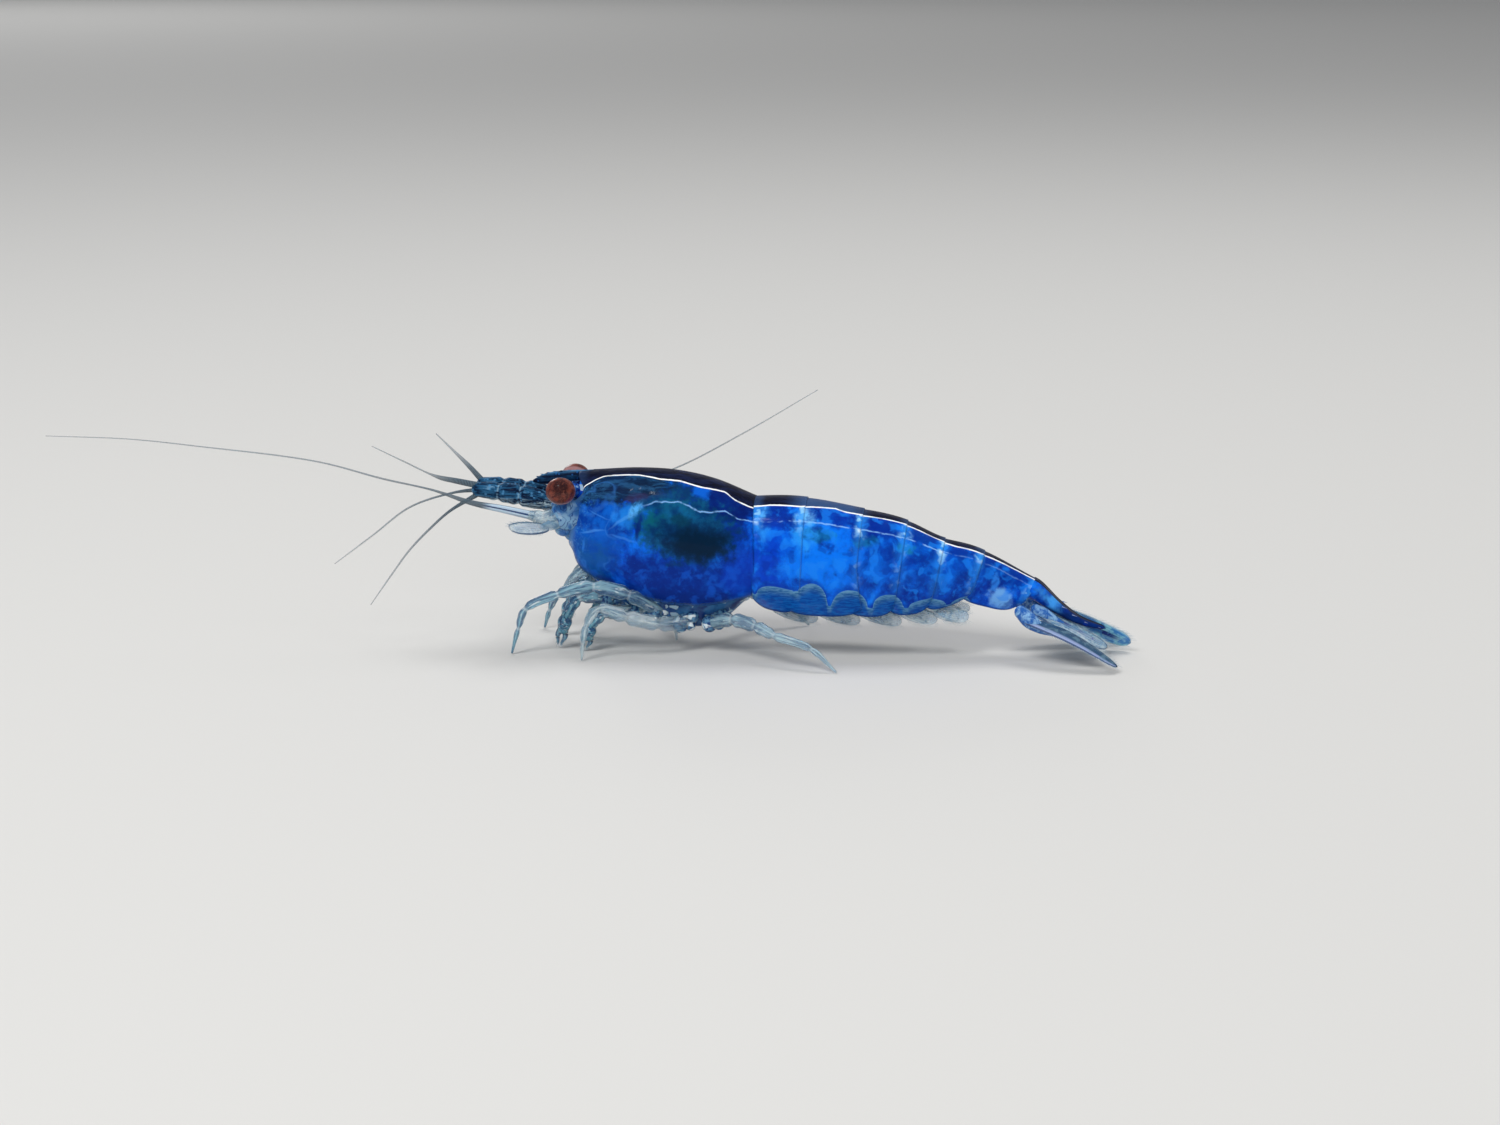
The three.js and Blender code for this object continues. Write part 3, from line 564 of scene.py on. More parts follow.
def paintHead():
    paint = Paint("shrimpHead")
    clouds = paint.noise(0.7, 3, 0.5, 0.5)
    fine = paint.noise(0.16, 2, 0.5)
    colour = paint.blend(paint.span(clouds, 0.38, 0.62), tone(48, 108, 176), tone(128, 170, 204))
    veins = veinLines(paint, paint.noise(0.5, 2, 0.5, 0.5))
    colour = paint.over(colour, tone(14, 54, 124), veins, 0.8)
    colour = paint.over(colour, tone(190, 214, 228), paint.flecks(0.3, 0.12), 0.5)
    return paint.finish(colour, paint.math("ADD", 0.14, paint.times(clouds, 0.2)),
                        paint.bump(paint.math("ADD", clouds, paint.times(fine, 0.3)), 0.08), 0.82,
                        Subsurface_Weight=0.35, Coat_Weight=0.5)


def paintStems():  # the dark, streaky stems of the first feelers
    paint = Paint("shrimpFeelerStem")
    joint = paint.marks()[1]
    streaks = paint.noise(0.2, 3, 0.65, 0.3, paint.stretched((0.2, 1.5, 1.5)))
    colour = paint.blend(paint.span(streaks, 0.4, 0.6), tone(8, 24, 50), tone(34, 82, 118))
    colour = paint.over(colour, tone(104, 142, 170), paint.span(streaks, 0.6, 0.68), 0.7)
    colour = paint.over(colour, tone(80, 140, 186), paint.flecks(0.16, 0.3), 0.5)
    pale = paint.span(paint.axis(2), 6.9, 6.76)
    colour = paint.over(colour, tone(168, 186, 192), pale, paint.span(streaks, 0.44, 0.6), 0.8)
    ring = paint.times(paint.span(joint, 0.7, 0.97), paint.span(streaks, 0.38, 0.56), 0.6)
    colour = paint.over(colour, tone(130, 166, 190), ring)
    return paint.finish(colour, paint.math("ADD", 0.24, paint.times(streaks, 0.2)), paint.bump(streaks, 0.05),
                        Subsurface_Weight=0.12)


def paintLimb():  # glassy limbs: strands of muscle inside, pale joints, dark edges; tint darkens them
    paint = Paint("shrimpLimb")
    _, joint, tint = paint.marks()
    strands = paint.noise(0.4, 3, 0.6, 0.3, paint.lengthwise(1.6, 3.4))
    fine = paint.noise(0.13, 3, 0.65)
    mixed = paint.span(strands, 0.4, 0.6)
    pale = paint.blend(mixed, tone(136, 178, 200), tone(226, 238, 240))
    dark = paint.blend(mixed, tone(6, 66, 122), tone(96, 168, 190))
    colour = paint.blend(paint.span(tint, 0.0, 1.0), pale, dark)
    streaks = paint.noise(0.3, 3, 0.6, 0.2, paint.lengthwise(2.6, 4.0))
    colour = paint.over(colour, tone(14, 70, 124), paint.span(streaks, 0.56, 0.66), 0.7)
    glints = paint.noise(0.24, 3, 0.6, 0.2, paint.lengthwise(3.4, 3.0))
    colour = paint.over(colour, tone(226, 238, 240), paint.span(glints, 0.585, 0.64), 0.9)
    colour = paint.over(colour, tone(214, 228, 234), paint.span(joint, 0.6, 0.97), 0.55)
    # hips: dark blue lumps with clean edged glints
    hipped = paint.span(tint, 1.2, 1.4)
    lump = paint.blend(paint.span(fine, 0.4, 0.6), tone(10, 54, 112), tone(92, 142, 176))
    bent = paint.warped(0.3, 0.1, paint.stretched((0.8, 1, 1.3)))
    lump = paint.over(lump, tone(224, 236, 240), paint.shards(0.3, 0.3, bent), 0.9)
    colour = paint.over(colour, lump, hipped)
    body = paint.math("ADD", 0.42, paint.times(tint, 0.42))
    alpha = paint.math("ADD", body, paint.times(mixed, 0.25))
    glassy = paint.math("SUBTRACT", 0.6, paint.times(tint, 0.3))
    return paint.finish(colour, paint.math("ADD", 0.1, paint.times(fine, 0.14)),
                        paint.bump(paint.math("ADD", strands, paint.times(fine, 0.2)), 0.04), alpha,
                        Subsurface_Weight=0.1, Coat_Weight=0.5, Transmission_Weight=glassy, IOR=1.33,
                        Specular_IOR_Level=0.3)


def paintFeeler():  # fine, ringed feelers; the stout root of the long pair is pale with dark lines
    paint = Paint("shrimpFeeler")
    t, stout, reach = paint.marks()
    rings = paint.math("SINE", paint.times(reach, 84.0))
    colour = paint.blend(paint.span(rings, -0.4, 0.9), tone(50, 68, 82), tone(92, 110, 122))
    lines = paint.noise(0.3, 2, 0.5, 0.2, paint.lengthwise(0.5, 2.4))
    root = paint.blend(paint.span(lines, 0.44, 0.54), tone(24, 56, 104), tone(186, 208, 226))
    colour = paint.over(colour, root, stout)
    colour = paint.over(colour, tone(156, 162, 166), paint.span(t, 0.15, 0.7), 0.8)
    alpha = paint.math("SUBTRACT", 0.85, paint.times(t, 0.4))
    return paint.finish(colour, 0.38, paint.bump(rings, 0.003), alpha, Subsurface_Weight=0.1, Coat_Weight=0.2)


def paintBlade():
    # clear plates: tail blades, scales and swimmerets; marks are along, across and tint, where
    # tint is below 0 for the clearest, about 0.5 for a dark blade with a pale edge, 1 for blue
    paint = Paint("shrimpBlade")
    t, across, tint = paint.marks()
    edge = paint.math("ABSOLUTE", across)
    clouds = paint.noise(0.4, 3, 0.6, 0.6)
    fine = paint.noise(0.1, 3, 0.6, 0.3)
    mixed = paint.span(clouds, 0.4, 0.62)
    pale = paint.blend(mixed, tone(126, 168, 196), tone(196, 216, 224))
    blue = paint.blend(mixed, tone(38, 126, 200), tone(132, 208, 232))
    colour = paint.blend(paint.span(tint, 0.0, 1.0), pale, blue)
    sided = paint.times(paint.span(tint, 0.4, 0.45), paint.span(tint, 0.6, 0.55))
    twoSided = paint.blend(paint.span(across, -0.75, -0.35), tone(160, 172, 212), tone(26, 60, 88))
    twoSided = paint.over(twoSided, tone(92, 130, 150), paint.span(clouds, 0.52, 0.62), 0.5)
    colour = paint.over(colour, twoSided, sided, 0.9)
    rays = paint.math("SINE", paint.times(across, 24.0))
    colour = paint.over(colour, tone(18, 76, 138), paint.span(rays, 0.2, 1.0), 0.3)
    ribbed = paint.math("SUBTRACT", 1, sided)
    broken = paint.math("ADD", 0.35, paint.times(paint.span(clouds, 0.42, 0.56), 0.65))
    rib = paint.times(paint.span(edge, 0.36, 0.16), paint.span(t, 0.97, 0.8), paint.span(tint, -0.5, 0.3),
                      ribbed, broken)
    colour = paint.over(colour, tone(4, 34, 116), rib)
    glints = paint.times(paint.flecks(0.3, 0.3), paint.span(tint, 0.6, 0.8), 0.7)
    colour = paint.over(colour, tone(150, 216, 232), glints)
    rimmed = paint.times(paint.span(edge, 0.8, 0.9), paint.span(tint, -0.4, -0.2),
                         paint.span(tint, 0.75, 0.65))
    colour = paint.over(colour, tone(14, 48, 92), rimmed, 0.8)
    white = paint.times(paint.span(edge, 0.84, 0.95), paint.span(tint, 0.6, 0.75))
    colour = paint.over(colour, tone(196, 226, 238), white, 0.6)
    lumpy = paint.span(tint, 1.2, 1.4)  # the fleshy roots of the tail blades
    lumps = paint.noise(0.3, 3, 0.6, 0.5)
    root = paint.blend(paint.span(lumps, 0.4, 0.62), tone(36, 92, 168), tone(128, 172, 214))
    colour = paint.over(colour, root, lumpy)
    dense = paint.math("MAXIMUM", paint.math("MAXIMUM", rib, rimmed), sided)
    solid = paint.math("MAXIMUM", tint, dense)
    alpha = paint.math("ADD", 0.4, paint.times(paint.math("MINIMUM", solid, 1.0), 0.52))
    return paint.finish(colour, 0.2, paint.bump(paint.math("ADD", paint.times(rays, 0.4), fine), 0.02), alpha,
                        Subsurface_Weight=0.1, Coat_Weight=0.5)


def paintEye():
    paint = Paint("shrimpEye")
    middle = paint.marks()[1]  # 1 where the eye looks
    facets = paint.cells(0.05)
    grain = paint.noise(0.22, 3, 0.6)
    spots = paint.noise(0.1, 3, 0.6)
    colour = paint.blend(paint.span(grain, 0.38, 0.62), tone(66, 26, 24), tone(112, 52, 40))
    colour = paint.over(colour, tone(34, 12, 16), paint.span(middle, 0.66, 0.97), 0.9)
    colour = paint.over(colour, tone(92, 56, 54), paint.span(middle, 0.5, 0.0), 0.5)
    # painted light: the side turned away from where the eye looks is pale, as a backlit eye, and the far eye
    # shows this side
    colour = paint.over(colour, tone(158, 122, 124), paint.span(middle, 0.2, -0.05), 0.75)
    colour = paint.over(colour, tone(150, 84, 64), paint.span(spots, 0.56, 0.66), 0.35)
    colour = paint.over(colour, tone(140, 84, 72), paint.span(facets, 0.45, 0.2), 0.12)
    return paint.finish(colour, 0.28, paint.bump(facets, 0.008), Coat_Weight=0.5, Coat_Roughness=0.05)


def paintStalk():
    paint = Paint("shrimpEyeStalk")
    grain = paint.noise(0.2, 3, 0.6, 0.5)
    colour = paint.blend(paint.span(grain, 0.38, 0.6), tone(6, 28, 112), tone(40, 96, 176))
    colour = paint.over(colour, tone(140, 180, 214), paint.flecks(0.16, 0.3), 0.6)
    return paint.finish(colour, 0.22, paint.bump(grain, 0.04))


def paintHair():
    paint = Paint("shrimpHair")
    grain = paint.noise(0.2, 2)
    colour = paint.blend(paint.span(grain, 0.35, 0.65), tone(140, 170, 188), tone(218, 229, 234))
    return paint.finish(colour, 0.4, paint.bump(grain, 0.01), 0.5, Subsurface_Weight=0.0)


paints = {
    "carapace": paintCarapace(), "plates": paintTailPlates(), "rostrum": paintRostrum(),
    "flesh": paintFlesh(), "head": paintHead(), "stem": paintStems(), "limb": paintLimb(),
    "feeler": paintFeeler(), "blade": paintBlade(), "eye": paintEye(), "stalk": paintStalk(),
    "hair": paintHair(),
}
print("materials made:", len(paints))


trunk = {
    # back line as x, half width, z; lower edge as x, 0, z
    "carapaceTop": [(-7.7, 1.15, 8.0), (-6.5, 1.68, 8.1), (-5.0, 2.05, 8.18), (-3.3, 2.25, 8.1),
                    (-1.6, 2.28, 7.74), (0.05, 2.12, 7.08)],
    "carapaceLow": [(-8.12, 0, 4.75), (-7.42, 0, 3.7), (-5.6, 0, 2.92), (-3.7, 0, 2.36),
                    (-1.8, 0, 2.3), (0.2, 0, 2.75)],
    "tailTop": [(0.15, 2.08, 7.04), (2.25, 2.12, 7.01), (4.85, 2.05, 6.56), (6.86, 1.85, 6.1),
                (8.56, 1.58, 5.32), (10.22, 1.22, 4.86), (12.91, 0.78, 3.46)],
    "tailLow": [(0.3, 0, 2.35), (2.1, 0, 2.05), (4.5, 0, 1.98), (6.35, 0, 2.0), (7.95, 0, 2.15),
                (9.55, 0, 2.5), (11.95, 0, 2.0)],
    "archEnd": 0.45, "wallEnd": 0.7, "squareness": 0.92,  # shares of half a turn
    "thickness": 0.07,
    # where the band's white border and the fainter line run: station, share of half a turn
    "carapaceBackLine": [(0.0, 0.27), (0.118, 0.185), (0.164, 0.145), (0.214, 0.113), (0.305, 0.103),
                         (0.42, 0.099), (0.53, 0.121), (0.633, 0.115), (0.739, 0.128), (0.802, 0.119),
                         (0.87, 0.107), (0.926, 0.14), (1.0, 0.152)],
    "carapaceSideLine": [(0.43, 0.32), (0.45, 0.295), (0.524, 0.257), (0.65, 0.238), (0.7, 0.248),
                         (0.756, 0.267), (0.816, 0.255), (0.881, 0.232), (0.96, 0.259), (1.0, 0.25)],
    "tailBackLine": [(0.0, 0.134), (0.068, 0.121), (0.17, 0.12), (0.23, 0.096), (0.27, 0.08), (0.3, 0.095),
                     (0.416, 0.082), (0.6, 0.065), (0.665, 0.067), (0.736, 0.098), (0.842, 0.106),
                     (0.952, 0.072), (1.0, 0.066)],
    "tailSideLine": [(0.0, 0.241), (0.09, 0.235), (0.177, 0.217), (0.32, 0.208), (0.5, 0.202),
                     (0.61, 0.188), (0.675, 0.193), (0.79, 0.21), (0.877, 0.222), (1.0, 0.235)],
    # the muscle's lower edge: x where two scallops meet, its share there, the share over the next one
    "lobes": [(0.35, 0.64, 0.545), (2.3, 0.56, 0.5), (3.75, 0.63, 0.525), (5.55, 0.635, 0.54),
              (7.1, 0.635, 0.57), (9.0, 0.675, 0.635), (10.1, 0.75, 0.75)],
    "lobeGap": 1.16,  # over 1 leaves flesh between the scallops
}
lines = {key: smoothLine(trunk[key]) for key in ("carapaceTop", "carapaceLow", "tailTop", "tailLow")}


def section(top, low, halfWidth, share, belly, inTurn):
    # a spot of the shell at a share of half a turn from the back line, growing towards +y
    turned = abs(share)
    height = (top - low).length
    bellyHeight = belly * height
    if turned <= trunk["archEnd"]:
        turn = turned / trunk["archEnd"] * math.pi / 2
        across = halfWidth * math.sin(turn) ** trunk["squareness"]
        rise = bellyHeight + (height - bellyHeight) * max(math.cos(turn), 0) ** trunk["squareness"]
    else:
        down = (turned - trunk["archEnd"]) / (trunk["wallEnd"] - trunk["archEnd"])
        across = halfWidth * (1 - inTurn * down * down)
        rise = bellyHeight * (1 - down)
    return low + (top - low) / height * rise + rightward * math.copysign(across, share)


def carapaceSpot(t, share, sink=0.0):
    back = lines["carapaceTop"](t)
    top = Vector((back.x, 0, back.z - sink))
    low = lines["carapaceLow"](t) + upward * sink
    return section(top, low, back.y - sink, share, 0.42, 0.22)


def tailSpot(t, share, sink=0.0):
    back = lines["tailTop"](t)
    top = Vector((back.x, 0, back.z - sink))
    low = lines["tailLow"](t) + upward * sink
    last = min(max((t * 6 - 4.6) / 0.8, 0), 1)  # the last segment is rounder below
    return section(top, low, back.y - sink, share, 0.4 + 0.1 * last, 0.16 + 0.14 * last)


def muscleEdge(x):  # share of half a turn where the blue flesh ends
    for (start, low, peak), (end, nextLow, _) in zip(trunk["lobes"], trunk["lobes"][1:]):
        if start <= x <= end:
            way = (x - start) / (end - start)
            edge = low + (nextLow - low) * way
            lobe = min(max((way - 0.5) * trunk["lobeGap"] + 0.5, 0), 1)
            return edge + (peak - edge) * math.sin(math.pi * lobe) ** 0.4
    return trunk["lobes"][-1][1] if x > end else trunk["lobes"][0][1]


def aroundLength(spotAt, t):  # millimetres of shell for a whole unit of share
    spots = [spotAt(t, share / 20 * 0.45) for share in range(21)]
    return sum((b - a).length for a, b in zip(spots, spots[1:])) / 0.45


def withRims(bm, rimsAt):
    # a second attribute: millimetres from the front edge, the back edge and the lower edge
    rims = bm.verts.layers.float_vector.new("rims")
    for vert in bm.verts:
        vert[rims] = rimsAt(vert.co)


def plate(along, around, spotAt, backLine, sideLine, span, flare=None):
    # a shell plate from station span[0] to span[1], with its pattern's distances worked out
    start, end = span
    wall = trunk["wallEnd"]
    length = (spotAt(end, 0) - spotAt(start, 0)).length
    perShare = aroundLength(spotAt, (start + end) / 2)
    rimOf = {}

    def place(u, v):
        t = start + (end - start) * u
        share = wall * (2 * v - 1)
        spot = spotAt(t, share)
        if flare:
            spot = flare(spot, u, share)
        turned = abs(share)
        mark = Vector((
            (turned - readTable(backLine, t)) * perShare,
            (turned - readTable(sideLine, t)) * perShare,
            (turned - muscleEdge(spot.x)) * perShare if spotAt is tailSpot else -1,
        ))
        rimOf[spot.to_tuple(4)] = (u * length, (1 - u) * length, (wall - turned) * perShare)
        return spot, mark

    bm = newSheet(along, around, place)
    withRims(bm, lambda spot: Vector(rimOf[spot.to_tuple(4)]))
    bmesh.ops.recalc_face_normals(bm, faces=bm.faces)
    bmesh.ops.solidify(bm, geom=bm.faces, thickness=trunk["thickness"])
    return bm


def makeCarapace():
    values = {
        "along": 84, "around": 88, "overlap": 0.025,
        # the front edge: eye notch, spine under it and rounded lower corner, in millimetres
        "frontShare": 0.12, "orbitDepth": 0.42, "orbitHeight": 7.3, "orbitWidth": 0.42,
        "spineReach": 0.3, "spineHeight": 6.72, "spineWidth": 0.12,
        "cornerDepth": 0.5, "cornerHeight": 5.0, "cornerFade": 0.9,
        # the groove across the side, the line along it, the curled lower rim and the tucked rear
        "grooveDepth": 0.08, "grooveStation": 0.43, "grooveSlope": 0.2, "grooveWidth": 0.03,
        "grooveTop": 0.14, "lineDepth": 0.04, "lineShare": 0.47, "lineSlope": 0.05, "lineWidth": 0.012,
        "rimCurl": 0.1, "curlStart": 0.62, "rearTuck": 0.03, "tuckStation": 0.985, "tuckWidth": 0.02,
    }

    def flare(spot, u, share):
        front = max(0, 1 - u / values["frontShare"]) ** 2
        turned = abs(share)
        reach = values["orbitDepth"] * bell(spot.z - values["orbitHeight"], values["orbitWidth"])
        reach -= values["spineReach"] * bell(spot.z - values["spineHeight"], values["spineWidth"])
        reach += values["cornerDepth"] * max(0, (values["cornerHeight"] - spot.z) / values["cornerFade"]) ** 2
        station = values["grooveStation"] - values["grooveSlope"] * max(0, turned - 0.2)
        groove = values["grooveDepth"] * bell(u - station, values["grooveWidth"])
        groove *= min(max((turned - values["grooveTop"]) * 8, 0), 1)
        line = bell(turned - values["lineShare"] + values["lineSlope"] * u, values["lineWidth"])
        groove += values["lineDepth"] * line * bell(u - 0.2, 0.3)
        curlShare = (turned - values["curlStart"]) / (trunk["wallEnd"] - values["curlStart"])
        curl = values["rimCurl"] * max(0, curlShare) ** 2
        tuck = values["rearTuck"] * bell(u - values["tuckStation"], values["tuckWidth"])
        inward = -rightward * math.copysign(1, share)
        return spot + Vector((reach * front, 0, 0)) + inward * (groove + curl + tuck)

    bm = plate(values["along"], values["around"], carapaceSpot, trunk["carapaceBackLine"],
               trunk["carapaceSideLine"], (0, 1 + values["overlap"]), flare)
    finishPiece("carapace_shell", bm, paints["carapace"], ["carapace"])


def makeTailPlates():
    values = {"segments": 6, "along": 30, "around": 80, "tuck": 0.07, "overlap": 0.13, "frontOverlap": 0.04,
              "flare": 0.02, "sideStart": 0.4,
              "cornerLift": 0.34, "secondPlateReach": 0.42, "secondPlateOut": 0.07}
    for index in range(values["segments"]):
        step = 1 / values["segments"]
        start = index * step

        def flare(spot, u, share, second=index == 1):
            turned = abs(share)
            outward = rightward * math.copysign(min(1, turned * 4), share) + upward * max(0, 1 - turned * 4)
            tucked = -values["tuck"] * (1 - u) ** 3
            lift = values["flare"] * u ** 6
            low = max(0, (turned - values["sideStart"]) / (trunk["wallEnd"] - values["sideStart"]))
            spot = spot + outward * (tucked + lift)
            if second:  # the second side plate lies over its neighbours on both sides
                spot += Vector(((2 * u - 1) * values["secondPlateReach"] * low, 0, 0))
                spot += outward * values["secondPlateOut"] * low
            corner = abs(2 * u - 1) ** 3 * low ** 2
            return spot + upward * values["cornerLift"] * corner

        ahead = values["frontOverlap"] * step if index else 0
        span = (start - ahead, min(start + step * (1 + values["overlap"]), 1))
        bm = plate(values["along"], values["around"], tailSpot, trunk["tailBackLine"], trunk["tailSideLine"],
                   span, flare)
        finishPiece(f"tail_plate_{index + 1}", bm, paints["plates"], [f"abdomen_{index + 1}"])


def makeFlesh():
    # one soft skin inside the plates from face to tail, its keel carrying the legs
    values = {"sink": 0.2, "along": 110, "around": 56, "split": 0.39, "wallInset": 0.04,
              # the keel's lower edge as x, half width, z
              "keel": [(-7.0, 0.4, 2.85), (-5.9, 0.5, 1.85), (-4.6, 0.6, 1.15), (-3.1, 0.62, 0.95),
                       (-1.5, 0.6, 1.15), (0.15, 0.5, 2.55)]}
    keelLow = smoothLine(values["keel"])
    split = values["split"]  # share of the skin's length that lies under the carapace
    wall = trunk["wallEnd"] - values["wallInset"]

    def place(u, v):
        share = 2 * v - 1
        turned = abs(share)
        if u <= split:
            t = u / split
            spot = carapaceSpot(t, math.copysign(min(turned, wall), share), values["sink"])
            keel = keelLow(t)
            bottom = Vector((keel.x, 0, keel.z))
            halfWidth = keel.y
        else:
            t = (u - split) / (1 - split)
            spot = tailSpot(t, math.copysign(min(turned, wall), share), values["sink"])
            lift = 0.75 - 0.4 * t
            bottom = lines["tailLow"](t) + upward * lift
            halfWidth = lines["tailTop"](t).y * 0.7
        if turned > wall:
            inward = (turned - wall) / (1 - wall)
            rim = spot.copy()
            spot = rim.lerp(bottom, math.sin(inward * math.pi / 2) ** 1.2)
            spot.y = math.copysign(abs(rim.y) * (1 - inward) ** 0.8 * (1 - 0.3 * inward)
                                   + halfWidth * inward * (1 - inward), share)
        if u in (0, 1):
            spot = carapaceSpot(0.01, 0, 1.6) if u == 0 else tailSpot(1, 0, 0.6)
        return spot, Vector((u, 0, 0))

    bm = sealed(newSheet(values["along"], values["around"], place))
    finishPiece("body_skin", bm, paints["flesh"], ["thorax"])


def makeRostrum():
    values = {
        # the top edge as x, half width, z, and the lower edge
        "ridge": [(-6.3, 0.1, 8.12), (-7.3, 0.13, 8.06), (-8.1, 0.2, 8.02), (-8.8, 0.21, 7.95),
                  (-9.4, 0.17, 7.8), (-9.8, 0.09, 7.55)],
        "under": [(-6.3, 0, 7.9), (-7.3, 0, 7.62), (-8.1, 0, 7.5), (-8.8, 0, 7.42), (-9.4, 0, 7.33),
                  (-9.8, 0, 7.42)],
        "tip": -9.86, "tipShare": 0.1, "toothHeight": 0.03, "toothLength": 0.13, "toothRadius": 0.04,
        # how many teeth, first one's station, step, and whether they point up or down
        "upperTeeth": [9, 0.12, 0.095, 1], "lowerTeeth": [3, 0.62, 0.1, -1],
    }
    ridge = smoothLine(values["ridge"])
    under = smoothLine(values["under"])

    def place(u, v):
        crest, keel = ridge(u), under(u)
        turn = 2 * math.pi * v
        middle = (crest.z + keel.z) / 2
        half = (crest.z - keel.z) / 2
        ending = max(0, (u - 1 + values["tipShare"]) / values["tipShare"]) ** 2
        taper = math.sqrt(max(0, 1 - ending)) * math.sqrt(min(1, u / values["tipShare"]))
        x = crest.x + (values["tip"] - crest.x) * ending
        narrow = 0.5 + 0.5 * abs(math.sin(turn)) ** 0.6  # blade edges above and below
        spot = Vector((x, math.sin(turn) * crest.y * narrow * taper, middle + math.cos(turn) * half * taper))
        return spot, Vector((u, 0, 0))

    bm = sealed(newSheet(44, 22, place))
    for line, (teeth, first, step, way) in ((ridge, values["upperTeeth"]), (under, values["lowerTeeth"])):
        for number in range(teeth):
            spot = line(first + step * number)
            root = Vector((spot.x, 0, spot.z - 0.03 * way))
            tip = root + Vector((-values["toothLength"], 0, values["toothHeight"] * way))
            pointedHair(bm, root, tip, values["toothRadius"], 8)
    finishPiece("rostrum_blade", bm, paints["rostrum"], ["rostrum"])


def makeHead():
    values = {"back": -7.7, "front": -9.15, "middle": 6.05, "halfWidth": 0.98, "halfHeight": 0.95,
              # middle and radii, with the left side mirrored
              "mouthCheek": [(-8.3, 0.78, 5.5), (0.45, 0.35, 0.36)],
              "brow": [(-8.75, 0.55, 6.62), (0.42, 0.36, 0.26)],
              "upperLip": [(-8.1, 0, 5.15), (0.35, 0.3, 0.4)],
              "face": [(-8.1, 1.0, 6.2), (0.78, 0.5, 0.74)]}

    def place(u, v):
        turn = 2 * math.pi * v
        narrowing = (1 - 0.5 * u * u) * math.sqrt(max(0, 1 - max(0, (u - 0.8) / 0.2) ** 2)) * min(1, u / 0.06)
        lumps = 1 + 0.05 * math.sin(3 * turn + 5 * u) + 0.04 * math.sin(7 * turn - 9 * u)
        x = values["back"] + (values["front"] - values["back"]) * u
        across = math.sin(turn) * values["halfWidth"] * narrowing * lumps
        rise = math.cos(turn) * values["halfHeight"] * narrowing * lumps
        return Vector((x, across, values["middle"] + rise - 0.12 * u)), Vector((u, 0, 0))

    parts = [sealed(newSheet(26, 36, place))]
    for side in sides.values():
        for lump, around, along in (("mouthCheek", 20, 14), ("brow", 20, 14), ("face", 28, 20)):
            (x, y, z), radii = values[lump]
            parts.append(ball(Vector((x, side * y, z)), radii, around, along))
    parts.append(ball(Vector(values["upperLip"][0]), values["upperLip"][1]))
    finishPiece("head_front", joined(*parts), paints["head"], ["head"])


def makeEyes():
    values = {"spot": (-8.3, 1.65, 7.38), "rightBack": 0.14, "radius": 0.64, "look": (0.1, 0.8, 0.5),
              "stalk": [(-7.75, 0.5, 7.2, 0.3), (-7.95, 0.85, 7.26, 0.34), (-8.12, 1.15, 7.28, 0.42),
                        (-8.22, 1.4, 7.32, 0.5)]}
    radius = values["radius"]
    for name, side in sides.items():
        spot, look = (Vector(point) for point in mirrored([values["spot"], values["look"]], side))
        look.normalize()
        if name == "right":
            spot.x += values["rightBack"]
        bm = ball(spot, (radius * 1.04, radius * 0.98, radius * 0.95), 56, 40)
        marks = bm.verts.layers.float_vector["marks"]
        for vert in bm.verts:
            vert[marks] = Vector((0, (vert.co - spot).normalized().dot(look), 0))
        finishPiece(f"eye_ball_{name}", bm, paints["eye"], [f"eye_{name}"])
        path = smoothLine(mirrored(values["stalk"], side))
        stalk = tube(path, 18, 22, joints=[path(0.34).to_3d()], pinch=0.15)
        finishPiece(f"eye_stalk_{name}", stalk, paints["stalk"], [f"eyestalk_{name}"])


